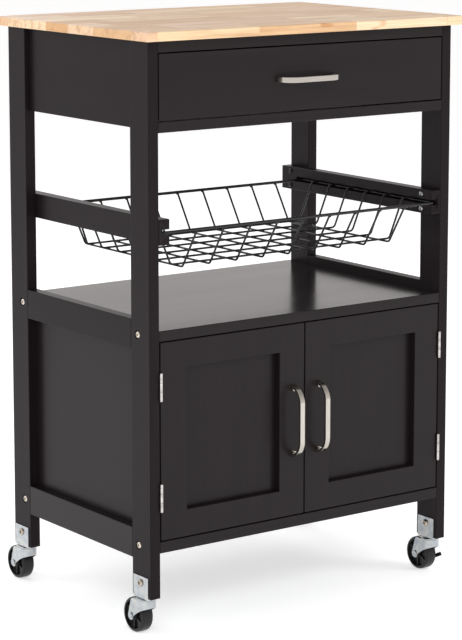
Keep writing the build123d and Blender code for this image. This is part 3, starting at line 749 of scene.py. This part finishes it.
@dataclass
class Finishes:
    """Every material of the cart, made once."""

    staves: Material = field(default_factory=StaveWood().material)
    paint: dict[Axis, Material] = field(
        default_factory=lambda: {axis: BlackPaint(axis).material() for axis in Axis}
    )
    matt: dict[Axis, Material] = field(
        default_factory=lambda: {
            axis: BlackPaint(axis, "matt_paint", gloss=0.11, sheen_tint=shade(1.0, 0.89, 0.91)).material()
            for axis in (Axis.Y, Axis.Z)
        }
    )
    panel: Material = field(
        default_factory=BlackPaint(
            Axis.Z, "panel_paint", gloss=0.16, sheen_tint=shade(1.0, 0.90, 0.91)
        ).material
    )
    lacquer: Material = field(
        default_factory=BlackPaint(
            Axis.X,
            "shelf_lacquer",
            rough=(0.15, 0.23),
            gloss=0.53,
            relief=(0.12, 0.00012),
            sheen_tint=shade(1.0, 0.95, 0.92),
        ).material
    )
    nickel: dict[Axis, Material] = field(
        default_factory=lambda: {axis: BrushedMetal(axis).material() for axis in (Axis.X, Axis.Z)}
    )
    zinc: Material = field(default_factory=ZincPlate().material)
    hinge: Material = field(
        default_factory=ZincPlate(
            "hinge_plate", shade(0.40, 0.38, 0.365), shade(0.70, 0.67, 0.645), (0.13, 0.26)
        ).material
    )
    bolt: Material = field(
        default_factory=ZincPlate(
            "plated_bolt", shade(0.56, 0.51, 0.45), shade(0.68, 0.61, 0.52), (0.16, 0.28)
        ).material
    )
    screw: Material = field(
        default_factory=ZincPlate(
            "plated_screw", shade(0.40, 0.36, 0.31), shade(0.54, 0.48, 0.40), (0.18, 0.30)
        ).material
    )
    enamel: Material = field(
        default_factory=BlackCoat(
            "wire_enamel",
            base=shade(0.0075, 0.0075, 0.0082),
            patch=shade(0.016, 0.016, 0.017),
            patch_scale=45.0,
            patch_detail=3.0,
            patch_rough=0.55,
            patch_strength=1.0,
            window=(0.35, 0.7),
            rough=(0.20, 0.32),
            gloss=0.42,
            fine_scale=520.0,
            relief=(0.14, 0.00008),
        ).material
    )
    runner: Material = field(default_factory=RunnerEnamel().material)
    wheel: Material = field(default_factory=BlackCoat("wheel_plastic").material)
    lever: Material = field(
        default_factory=BlackCoat("lever_plastic", rough=(0.22, 0.34), patch_strength=0.15).material
    )


@dataclass
class Carcass:
    """The painted boards with eased edges, and the solids that keep their own shapes."""

    finishes: Finishes
    round_over: float = 0.0008
    least_run: float = 0.008

    def dress(self) -> None:
        """Give each board its finish, and round the edges of those that show."""
        paint, matt = self.finishes.paint, self.finishes.matt
        eased = (
            (matt[Axis.Z], ("leg_front_left", "leg_front_right", "leg_back_left", "leg_back_right")),
            (matt[Axis.Y], ("side_aprons", "basket_rails", "shelf_side_rails")),
            (paint[Axis.X], ("drawer_opening_rails", "back_apron", "cabinet_floor", "drawer_front")),
            (paint[Axis.Y], ("bottom_side_rails",)),
        )
        for material, nodes in eased:
            for node in nodes:
                eased_copy(node, self.round_over, material, least_run=self.least_run)
        kept = (
            (self.finishes.staves, ("worktop",)),
            (matt[Axis.Y], ("worktop_cleats",)),
            (self.finishes.panel, ("side_panels",)),
            (paint[Axis.Z], ("door_left_panel", "door_right_panel", "back_panel")),
            (paint[Axis.X], ("drawer_back", "drawer_bottom")),
            (paint[Axis.Y], ("drawer_sides",)),
            (self.finishes.zinc, ("door_left_strike", "door_right_strike")),
            (self.finishes.runner, ("drawer_runners", "drawer_slide_rails")),
            (self.finishes.lever, ("door_catch",)),
        )
        for material, nodes in kept:
            for node in nodes:
                dress(frame["nodes"][node].data, material)
                log.info("%s keeps its solid, in %s", node, material.name)


@dataclass
class Shelf:
    """The open shelf: a smoothly lacquered top on a painted board."""

    finishes: Finishes
    node: str = "shelf_board"
    facing_up: float = 0.9

    def build(self) -> Object:
        """Make the board from its solid, with its top face in lacquer.

        Returns:
            The piece.
        """
        piece = eased_copy(self.node, 0.0, self.finishes.paint[Axis.X])
        piece.data.materials.append(self.finishes.lacquer)
        for face in piece.data.polygons:
            face.material_index = int(face.normal.z > self.facing_up)
        return piece


@dataclass
class DoorFrames:
    """The stiles and rails of both doors, glued up and painted over as one frame each."""

    finishes: Finishes
    rail_height: float = 0.039
    round_over: float = 0.001
    sharp_deg: float = 60.0

    def build(self) -> None:
        """Make both frames."""
        for side in ("left", "right"):
            self._frame(f"door_{side}", f"door_{side}_stiles", f"door_{side}_rails")

    def _frame(self, body: str, stiles: str, rails: str) -> Object:
        """Make one frame in the place of its stiles and rails.

        Args:
            body: The door.
            stiles: The solid of its uprights.
            rails: The solid of its cross pieces.

        Returns:
            The piece.
        """
        low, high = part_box(stiles)
        rail_low, rail_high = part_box(rails)
        across = (low[0], rail_low[0], rail_high[0], high[0])
        up = (low[2], low[2] + self.rail_height, high[2] - self.rail_height, high[2])
        work = bmesh.new()
        corners = {}
        for face, y in enumerate((low[1], high[1])):
            for column, x in enumerate(across):
                for row, z in enumerate(up):
                    corners[face, column, row] = work.verts.new((x, y, z))
        stile_runs = [
            [(c, 0)] + [(c + 1, r) for r in range(len(up))] + [(c, r) for r in (3, 2, 1)] for c in (0, 2)
        ]
        rail_runs = [[(1, r), (2, r), (2, r + 1), (1, r + 1)] for r in (0, 2)]
        for index, runs in enumerate((stile_runs, rail_runs)):
            for run in runs:
                for face in (0, 1):
                    work.faces.new([corners[face, c, r] for c, r in run]).material_index = index
        outline = [(0, 0), (1, 0), (2, 0), (3, 0), (3, 1), (3, 2)]
        outline += [(3, 3), (2, 3), (1, 3), (0, 3), (0, 2), (0, 1)]
        opening = [(1, 1), (2, 1), (2, 2), (1, 2)]
        for loop in (outline, opening):
            for here, after in zip(loop, loop[1:] + loop[:1]):
                wall = work.faces.new(
                    [corners[0, *here], corners[0, *after], corners[1, *after], corners[1, *here]]
                )
                wall.material_index = int(here[1] == after[1] and {here[0], after[0]} == {1, 2})
        bmesh.ops.recalc_face_normals(work, faces=work.faces)
        least = math.radians(self.sharp_deg)
        sharp = [edge for edge in work.edges if edge.calc_face_angle(0.0) > least]
        bmesh.ops.bevel(work, geom=sharp, offset=self.round_over, segments=3, profile=0.5, affect="EDGES")
        mesh = to_mesh(work, f"{body}_frame")
        smooth(mesh, CREASE_DEG)
        dress(mesh, self.finishes.paint[Axis.Z])
        mesh.materials.append(self.finishes.paint[Axis.X])
        return place(f"{body}_frame", weighted(mesh), body, [stiles, rails])


@dataclass
class Hardware:
    """Handles and hinges, as smooth copies of their solids."""

    finishes: Finishes
    hinge_nodes: tuple[str, ...] = (
        "hinge_frame_leaves", "hinge_pins", "door_left_hinge_leaves", "door_right_hinge_leaves",
    )

    def build(self) -> None:
        """Make the handles and the hinges."""
        eased_copy("drawer_handle", 0.0, self.finishes.nickel[Axis.X])
        for node in ("door_left_handle", "door_right_handle"):
            eased_copy(node, 0.0, self.finishes.nickel[Axis.Z])
        for node in self.hinge_nodes:
            eased_copy(node, 0.0, self.finishes.hinge)


@dataclass(frozen=True)
class ScrewSize:
    """The lengths of one kind of screw."""

    shaft_length: float
    shaft_radius: float = 0.0019
    head_radius: float = 0.0040
    head_height: float = 0.0022


@dataclass
class ScrewSet:
    """A group of like screws, set by a geometry node tree on points that face outwards.

    The tip is given in shares of the shaft's radius, the dome and the drives in shares of the head.
    """

    stem: str
    body: str
    seats: list[Seat]
    size: ScrewSize
    material: Material
    recess: Recess = Recess.CROSS
    seed: int = 7
    sides: int = 32
    crease_deg: float = 35.0
    tip: tuple[Span, ...] = ((0.0, 0.0), (0.55, 0.4), (1.0, 1.4))
    dome: tuple[Span, ...] = (
        (0.96, 0.0), (1.0, 0.10), (0.985, 0.38), (0.90, 0.66), (0.72, 0.87), (0.45, 0.97), (0.0, 1.0),
    )
    drive_height: float = 1.05
    hexagon: Point = (0.44, 0.46, 1.5)
    cross: Point = (1.12, 0.30, 1.7)

    def _blank(self) -> Object:
        """Return a turned screw that stands on the origin, head up."""
        size = self.size
        profile = [(r * size.shaft_radius, z * size.shaft_radius - size.shaft_length) for r, z in self.tip]
        profile.append((size.shaft_radius, 0.0))
        profile += [(r * size.head_radius, z * size.head_height) for r, z in self.dome]
        return shown("screw_blank", to_mesh(lathe(profile, self.sides), "screw_blank"))

    def _cutter(self) -> Object:
        """Return the solid that cuts the drive into the head."""
        work = bmesh.new()
        r, h = self.size.head_radius, self.size.head_height
        middle = Matrix.Translation((0.0, 0.0, h * self.drive_height))
        if self.recess is Recess.HEXAGON:
            low, high, depth = self.hexagon
            radii = {"radius1": r * low, "radius2": r * high}
            bmesh.ops.create_cone(work, cap_ends=True, segments=6, depth=h * depth, matrix=middle, **radii)
        else:
            length, width, depth = self.cross
            for turn in (0.0, math.pi / 2):
                blade = Matrix.Rotation(turn, 4, "Z") @ middle
                shape = blade @ Matrix.Diagonal((r * length, r * width, h * depth, 1.0))
                bmesh.ops.create_cube(work, size=1.0, matrix=shape)
        return shown("drive_cutter", to_mesh(work, "drive_cutter"))

    def _pattern(self) -> Object:
        """Return one finished screw, to be set on each seat."""
        blank, cutter = self._blank(), self._cutter()
        cut = blank.modifiers.new("drive", "BOOLEAN")
        cut.object, cut.operation, cut.solver = cutter, "DIFFERENCE", "EXACT"
        cut.use_self = True
        mesh = frozen(blank)
        discard(blank)
        discard(cutter)
        smooth(mesh, self.crease_deg)
        return shown("screw_pattern", mesh)

    def build(self) -> Object:
        """Make the set and stand it in its solids' place.

        Returns:
            The piece.
        """
        sketch = GeometrySketch(f"{self.stem}_setting")
        screw = sketch.entry("Screw", "Object")
        turn_seed = sketch.entry("Turn Seed", "Int")
        facing = sketch.node("GeometryNodeInputNamedAttribute", {"Name": "facing"}, data_type="FLOAT_VECTOR")
        upright = sketch.node("FunctionNodeAlignRotationToVector", {"Vector": facing}, axis="Z")
        inputs = {"Max": FULL_TURN, "Seed": turn_seed}
        turn = sketch.node("FunctionNodeRandomValue", inputs, data_type="FLOAT").outputs[1]
        spin = sketch.node("FunctionNodeAxisAngleToRotation", {"Axis": (0.0, 0.0, 1.0), "Angle": turn})
        inputs = {"Rotation": upright, "Rotate By": spin}
        turned = sketch.node("FunctionNodeRotateRotation", inputs, rotation_space="LOCAL")
        pattern = sketch.node("GeometryNodeObjectInfo", {"Object": screw}).outputs["Geometry"]
        inputs = {"Points": sketch.start, "Instance": pattern, "Rotation": turned}
        sketch.close(sketch.node("GeometryNodeInstanceOnPoints", inputs))
        seeds = seed_object([seat for seat, _ in self.seats])
        attribute = seeds.data.attributes.new("facing", "FLOAT_VECTOR", "POINT")
        for item, (_, out) in zip(attribute.data, self.seats):
            item.vector = out
        screw_object = self._pattern()
        mesh = sketch.grow(seeds, Screw=screw_object, Finish=self.material, Turn_Seed=self.seed)
        discard(screw_object)
        node = f"{self.stem}s"
        return place(f"{self.stem}_heads", mesh, self.body, [node])


@dataclass
class Fasteners:
    """All the bolts and screws of the cart, where the solids have them."""

    finishes: Finishes
    frame_bolt: ScrewSize = ScrewSize(0.0383, 0.0025, 0.0050, 0.0024)
    rail_screw: ScrewSize = ScrewSize(0.028)
    plate_screw: ScrewSize = ScrewSize(0.0138, head_radius=0.0055, head_height=0.0030)
    handle_screw: ScrewSize = ScrewSize(0.021)
    bolt_x: float = 0.2673
    bolt_y: float = 0.153
    bolt_heights: Span = (0.4295, 0.12925)
    rail_x: float = 0.235
    rail_heights: Span = (0.563075, 0.584925)
    plate_reach: float = 0.01005
    plate_height: float = 0.0772
    board_back_y: float = -0.167
    handle_half: float = 0.048
    drawer_z: float = 0.77325
    door_z: float = 0.27975
    door_handle_x: float = 0.023

    def build(self) -> None:
        """Make every set of fasteners."""
        self._frame_screws()
        back = (0.0, 1.0, 0.0)
        drawer = [((end * self.handle_half, self.board_back_y, self.drawer_z), back) for end in ENDS]
        self._handle_screws("drawer", drawer)
        for body, side in (("door_left", -1), ("door_right", 1)):
            x = side * self.door_handle_x
            door = [((x, self.board_back_y, self.door_z + end * self.handle_half), back) for end in ENDS]
            self._handle_screws(body, door)

    def _handle_screws(self, body: str, seats: list[Seat]) -> None:
        """Make the screws that hold one handle from behind."""
        ScrewSet(f"{body}_handle_screw", body, seats, self.handle_screw, self.finishes.bolt).build()

    def _frame_screws(self) -> None:
        """Make the bolts of the legs, and the screws of the basket rails and of the caster plates."""
        corners = [(side, row) for side in ENDS for row in ENDS]
        bolts = [
            ((side * self.bolt_x, row * self.bolt_y, height), (float(side), 0.0, 0.0))
            for side, row in corners
            for height in self.bolt_heights
        ]
        ScrewSet("frame_bolt", "frame", bolts, self.frame_bolt, self.finishes.bolt, Recess.HEXAGON).build()
        rails = [
            ((side * self.rail_x, row * LEG_Y, height), (-float(side), 0.0, 0.0))
            for side, row in corners
            for height in self.rail_heights
        ]
        heads = ScrewSet("basket_rail_screw", "frame", rails, self.rail_screw, self.finishes.zinc).build()
        self._blacken_back(heads.data)
        plates = [
            ((side * LEG_X - self.plate_reach, row * LEG_Y, self.plate_height), (-1.0, 0.0, 0.0))
            for side, row in corners
        ]
        ScrewSet("caster_screw", "frame", plates, self.plate_screw, self.finishes.screw).build()

    def _blacken_back(self, mesh: Mesh) -> None:
        """Give the screws of the back legs black heads, which the photograph doesn't tell from the rail."""
        black = len(mesh.materials)
        mesh.materials.append(self.finishes.enamel)
        for face in mesh.polygons:
            if face.center.y > 0.0:
                face.material_index = black


@dataclass
class WireBasket:
    """The basket's bent and welded wires, grown along paths by geometry node trees."""

    finishes: Finishes
    rim_x: float = 0.244
    rim_front: float = -0.180
    rim_back: float = 0.138
    rim_z: float = 0.57275
    rim_radius: float = 0.00225
    rim_corner: float = 0.008
    wire_radius: float = 0.0015
    end_slope: float = 0.036
    long_z: float = 0.51525
    long_pitch: float = 0.0467
    long_count: int = 9
    cross_z: float = 0.51775
    cross_pitch: float = 0.044
    cross_count: int = 6
    hook_z: float = 0.576
    shoulder_x: float = 0.223
    floor_x: float = 0.198
    floor_bend: float = 0.007
    weld_size: Point = (0.0023, 0.0023, 0.0019)
    bend_steps: int = 7
    wire_sides: int = 14
    bead_detail: int = 2
    crease_deg: float = 50.0

    def _places(self, count: int, pitch: float, middle: float = 0.0) -> list[float]:
        """Return evenly pitched places about a middle."""
        return [middle + (index - (count - 1) / 2) * pitch for index in range(count)]

    def _long_places(self) -> list[float]:
        """Return the long wires' places across the basket."""
        return self._places(self.long_count, self.long_pitch)

    def _cross_places(self) -> list[float]:
        """Return the cross wires' places from front to back."""
        return self._places(self.cross_count, self.cross_pitch, (self.rim_front + self.rim_back) / 2)

    def rim_paths(self) -> list[list[Point]]:
        """Return the rim as one closed path."""
        x, z = self.rim_x, self.rim_z
        front, back = self.rim_front, self.rim_back
        corners = [(-x, front, z), (x, front, z), (x, back, z), (-x, back, z)]
        return [corners + corners[:1]]

    def wire_paths(self) -> list[list[Point]]:
        """Return the paths of the long wires and of the hooked cross wires."""
        front, back = self.rim_front + self.end_slope, self.rim_back - self.end_slope
        paths = []
        for x in self._long_places():
            paths.append([
                (x, self.rim_front, self.rim_z),
                (x, front, self.long_z),
                (x, back, self.long_z),
                (x, self.rim_back, self.rim_z),
            ])
        for y in self._cross_places():
            half = [(self.rim_x, self.hook_z), (self.shoulder_x, self.hook_z), (self.floor_x, self.cross_z)]
            right = [(x, y, z) for x, z in half]
            left = [(-x, y, z) for x, z in reversed(half)]
            paths.append(right + left)
        return paths

    def weld_points(self) -> list[Point]:
        """Return where a wire is welded to another, outside the rails' grooves."""
        points = []
        under_rim = self.rim_z - self.rim_radius
        for x in self._long_places():
            points += [(x, y, under_rim) for y in (self.rim_front, self.rim_back)]
            points += [(x, y, (self.long_z + self.cross_z) / 2) for y in self._cross_places()]
        return points

    def _tubes(self, name: str, paths: list[list[Point]], radius: float, bend: float) -> Mesh:
        """Return round wire along paths, with rounded bends."""
        sketch = GeometrySketch(name)
        wire_radius = sketch.entry("Wire Radius", "Float")
        bend_radius = sketch.entry("Bend Radius", "Float")
        curves = sketch.node("GeometryNodeMeshToCurve", {"Mesh": sketch.start})
        inputs = {"Curve": curves, "Count": self.bend_steps, "Radius": bend_radius, "Limit Radius": True}
        bent = sketch.node("GeometryNodeFilletCurve", inputs, mode="POLY")
        inputs = {"Resolution": self.wire_sides, "Radius": wire_radius}
        section = sketch.node("GeometryNodeCurvePrimitiveCircle", inputs)
        inputs = {"Curve": bent, "Profile Curve": section, "Fill Caps": True}
        sketch.close(sketch.node("GeometryNodeCurveToMesh", inputs))
        points, edges = [], []
        for path in paths:
            closed = path[0] == path[-1]
            run = path[:-1] if closed else path
            first = len(points)
            points += run
            edges += [(first + step, first + step + 1) for step in range(len(run) - 1)]
            if closed:
                edges.append((first + len(run) - 1, first))
        return sketch.grow(
            seed_object(points, edges), Wire_Radius=radius, Bend_Radius=bend, Finish=self.finishes.enamel
        )

    def _welds(self) -> Mesh:
        """Return a small flattened bead on each weld."""
        sketch = GeometrySketch("weld_beads")
        size = sketch.entry("Bead Size", "Vector")
        ball = sketch.node("GeometryNodeMeshIcoSphere", {"Radius": 1.0, "Subdivisions": self.bead_detail})
        inputs = {"Points": sketch.start, "Instance": ball, "Scale": size}
        sketch.close(sketch.node("GeometryNodeInstanceOnPoints", inputs))
        return sketch.grow(
            seed_object(self.weld_points()), Bead_Size=self.weld_size, Finish=self.finishes.enamel
        )

    def build(self) -> Object:
        """Make the basket and stand it in its solids' place.

        Returns:
            The piece.
        """
        rim = self._tubes("basket_rim_bending", self.rim_paths(), self.rim_radius, self.rim_corner)
        wires = self._tubes("basket_wire_bending", self.wire_paths(), self.wire_radius, self.floor_bend)
        mesh = joined([rim, wires, self._welds()], "basket_wirework")
        smooth(mesh, self.crease_deg)
        panels = ["basket_floor", "basket_front", "basket_back", "basket_left", "basket_right"]
        return place("basket_wirework", mesh, "basket", panels)


@dataclass
class CasterSet:
    """Four swivel casters: pressed plates and forks, ribbed wheels and two brake levers."""

    finishes: Finishes
    trail: float = 0.021
    wheel_radius: float = 0.025
    rib_count: int = 6
    rib_size: Point = (0.0122, 0.0016, 0.0032)
    rib_radius: float = 0.0138
    dish: float = 0.0045
    edge: float = 0.0004
    lip_radius: float = 0.0129
    lip_z: float = 0.0526
    lip_tube: float = 0.0013
    lip_sides: int = 12
    lip_crease_deg: float = 60.0
    turned_sides: int = 56
    wheel_crease_deg: float = 32.0
    half_profile: tuple[Span, ...] = (
        (0.00305, 0.0093), (0.0034, 0.0095), (0.0070, 0.0095), (0.0075, 0.0090), (0.0078, 0.0047),
        (0.0082, 0.0045), (0.0192, 0.0045), (0.0198, 0.0049), (0.0203, 0.0090), (0.0208, 0.0095),
        (0.0216, 0.0095), (0.0231, 0.0091), (0.0242, 0.0082), (0.0248, 0.0069), (0.0250, 0.0052),
        (0.0250, 0.0004), (0.0248, 0.0002),
    )

    def _wheel_mesh(self) -> Mesh:
        """Return a wheel about Z: a turned tyre and hub with ribs in both dishes."""
        lower = [(radius, -height) for radius, height in reversed(self.half_profile)]
        turned = to_mesh(lathe(list(self.half_profile) + lower, self.turned_sides), "turned_wheel")
        sketch = GeometrySketch("wheel_ribs")
        count, radius = sketch.entry("Rib Count", "Int"), sketch.entry("Rib Radius", "Float")
        size, depth = sketch.entry("Rib Size", "Vector"), sketch.entry("Dish Height", "Vector")
        circle = sketch.node("GeometryNodeMeshCircle", {"Vertices": count, "Radius": radius})
        outward = sketch.node("GeometryNodeInputPosition", {})
        turned_out = sketch.node("FunctionNodeAlignRotationToVector", {"Vector": outward}, axis="X")
        rib = sketch.node("GeometryNodeMeshCube", {"Size": size})
        inputs = {"Points": circle, "Instance": rib, "Rotation": turned_out}
        ribs = sketch.node("GeometryNodeInstanceOnPoints", inputs)
        upper = sketch.node("GeometryNodeTransform", {"Geometry": ribs, "Translation": depth})
        flip = sketch.node("ShaderNodeVectorMath", {0: depth, 1: (1.0, 1.0, -1.0)}, operation="MULTIPLY")
        under = sketch.node("GeometryNodeTransform", {"Geometry": ribs, "Translation": flip})
        both = sketch.node("GeometryNodeJoinGeometry", {})
        for part in (sketch.start, upper, under):
            sketch.feed(both.inputs["Geometry"], part)
        sketch.close(both)
        mesh = sketch.grow(
            shown("turned_wheel", turned),
            Rib_Count=self.rib_count,
            Rib_Radius=self.rib_radius,
            Rib_Size=self.rib_size,
            Dish_Height=(0.0, 0.0, self.dish + self.rib_size[2] / 2 - self.edge),
            Finish=self.finishes.wheel,
        )
        smooth(mesh, self.wheel_crease_deg)
        return mesh

    def _lip_mesh(self) -> Mesh:
        """Return the rolled lip round a fork's crown, about Z."""
        tube = round_points(self.lip_tube, self.lip_sides)
        profile = [(self.lip_radius + out, self.lip_z + up) for out, up in tube]
        mesh = to_mesh(lathe(profile, self.turned_sides), "crown_lip")
        smooth(mesh, self.lip_crease_deg)
        dress(mesh, self.finishes.zinc)
        return mesh

    def build(self) -> None:
        """Make every caster's pieces."""
        wheel_pattern = self._wheel_mesh()
        lip_pattern = self._lip_mesh()
        for side_name, side in (("left", -1), ("right", 1)):
            for row_name, row in (("front", -1), ("back", 1)):
                corner = f"{row_name}_{side_name}"
                fork, node = f"fork_{corner}", f"wheel_{corner}"
                wheel = wheel_pattern.copy()
                axle = (side * LEG_X, row * LEG_Y + self.trail, self.wheel_radius)
                wheel.transform(Matrix.Translation(axle) @ Matrix.Rotation(math.pi / 2, 4, "Y"))
                place(f"{node}_moulded", wheel, node, [node])
                eased_copy(fork, self.edge, self.finishes.zinc)
                lip = lip_pattern.copy()
                lip.transform(Matrix.Translation((side * LEG_X, row * LEG_Y, 0.0)))
                place(f"crown_lip_{corner}", lip, body_of(fork), [])
                if side_name == "right":
                    eased_copy(f"brake_lever_{corner}", self.edge, self.finishes.lever)
        bpy.data.meshes.remove(wheel_pattern)
        bpy.data.meshes.remove(lip_pattern)
        eased_copy("caster_plates", self.edge, self.finishes.zinc)


@dataclass(frozen=True)
class SoftLight:
    """A square soft light that faces a point, and that shiny surfaces mirror or not."""

    name: str
    eye: Point
    target: Point
    size: float
    power: float
    mirrored: bool = True

    def build(self) -> None:
        """Put the light in the scene."""
        data = bpy.data.lights.new(self.name, "AREA")
        data.size = self.size
        data.energy = self.power
        light = shown(self.name, data)
        light.location = self.eye
        light.visible_glossy = self.mirrored
        light.rotation_euler = (Vector(self.target) - Vector(self.eye)).to_track_quat("-Z", "Y").to_euler()


@dataclass
class Studio:
    """A pale floor, soft light all round and the camera."""

    eye: Point = (-2.116, -2.922, 1.098)
    yaw_deg: float = 36.01
    pitch_deg: float = -8.93
    focal_px: float = 2453.7
    image_height_px: float = 640.0
    sensor: float = 36.0
    shift: Span = (-0.0054, -0.14)
    view_end: float = 200.0
    floor_half: float = 60.0
    floor_tint: Colour = shade(0.885, 0.905, 0.915)
    floor_rough: Span = (0.65, 0.75)
    floor_glow: float = 0.48
    horizon: float = 1.0
    zenith: float = 0.45
    zenith_from: float = 0.75
    sky_tint: Colour = shade(1.0, 0.965, 0.95)
    lights: tuple[SoftLight, ...] = (
        SoftLight("key", (-2.6, -3.0, 2.3), (0.0, 0.0, 0.55), 2.0, 60.0, mirrored=False),
        SoftLight("fill", (2.7, -3.4, 2.7), (0.0, 0.0, 0.55), 1.8, 62.0, mirrored=False),
        SoftLight("left", (-1.5, 1.0, 1.2), (-0.8, 0.6, 0.0), 1.0, 6.0),
        SoftLight("back", (0.35, 3.0, 2.3), (0.0, 0.0, 0.45), 2.2, 26.0),
    )

    def build(self) -> None:
        """Make the floor, the lights and the camera."""
        self._floor()
        self._world()
        for light in self.lights:
            light.build()
        self._camera()

    def _floor(self) -> None:
        """Make a wide pale floor that glows a little, as a lit sweep does."""
        work = bmesh.new()
        bmesh.ops.create_grid(work, x_segments=1, y_segments=1, size=self.floor_half)
        mesh = to_mesh(work, "studio_floor")
        sketch = ShaderSketch("studio_floor")
        grain = sketch.noise(sketch.place, scale=3.0, detail=3.0)
        sketch.set(
            Base_Color=self.floor_tint,
            Roughness=sketch.levels(grain, *self.floor_rough),
            Emission_Color=shade(1.0, 1.0, 1.0),
            Emission_Strength=self.floor_glow,
        )
        dress(mesh, sketch.material)
        shown("studio_floor", mesh)

    def _world(self) -> None:
        """Light the scene from all round, less from overhead."""
        world = bpy.data.worlds.new("studio_sky")
        world.use_nodes = True
        sketch = NodeSketch(world.node_tree)
        direction = sketch.node("ShaderNodeTexCoord", {}).outputs["Generated"]
        height = sketch.node("ShaderNodeSeparateXYZ", {0: direction}).outputs[2]
        strengths = {"To Min": self.horizon, "To Max": self.zenith}
        inputs = {"Value": height, "From Max": self.zenith_from, **strengths}
        level = sketch.node("ShaderNodeMapRange", inputs)
        background = sketch.tree.nodes["Background"]
        sketch.feed(background.inputs["Strength"], level)
        sketch.feed(background.inputs["Color"], self.sky_tint)
        bpy.context.scene.world = world

    def _camera(self) -> None:
        """Set the camera at the photograph's place."""
        data = bpy.data.cameras.new("camera")
        data.sensor_width = self.sensor
        data.lens = self.focal_px * self.sensor / self.image_height_px
        data.shift_x, data.shift_y = self.shift
        data.clip_end = self.view_end
        camera = shown("camera", data)
        camera.location = self.eye
        camera.rotation_euler = (math.radians(90.0 + self.pitch_deg), 0.0, -math.radians(self.yaw_deg))
        bpy.context.scene.camera = camera
        bpy.context.scene.view_settings.view_transform = "Standard"


def main() -> None:
    """Dress the cart, build its pieces and set the studio."""
    logging.basicConfig(level=logging.INFO, format="%(name)s: %(message)s")
    finishes = Finishes()
    Carcass(finishes).dress()
    Shelf(finishes).build()
    DoorFrames(finishes).build()
    Hardware(finishes).build()
    Fasteners(finishes).build()
    WireBasket(finishes).build()
    CasterSet(finishes).build()
    Studio().build()


if __name__ == "__main__":
    main()
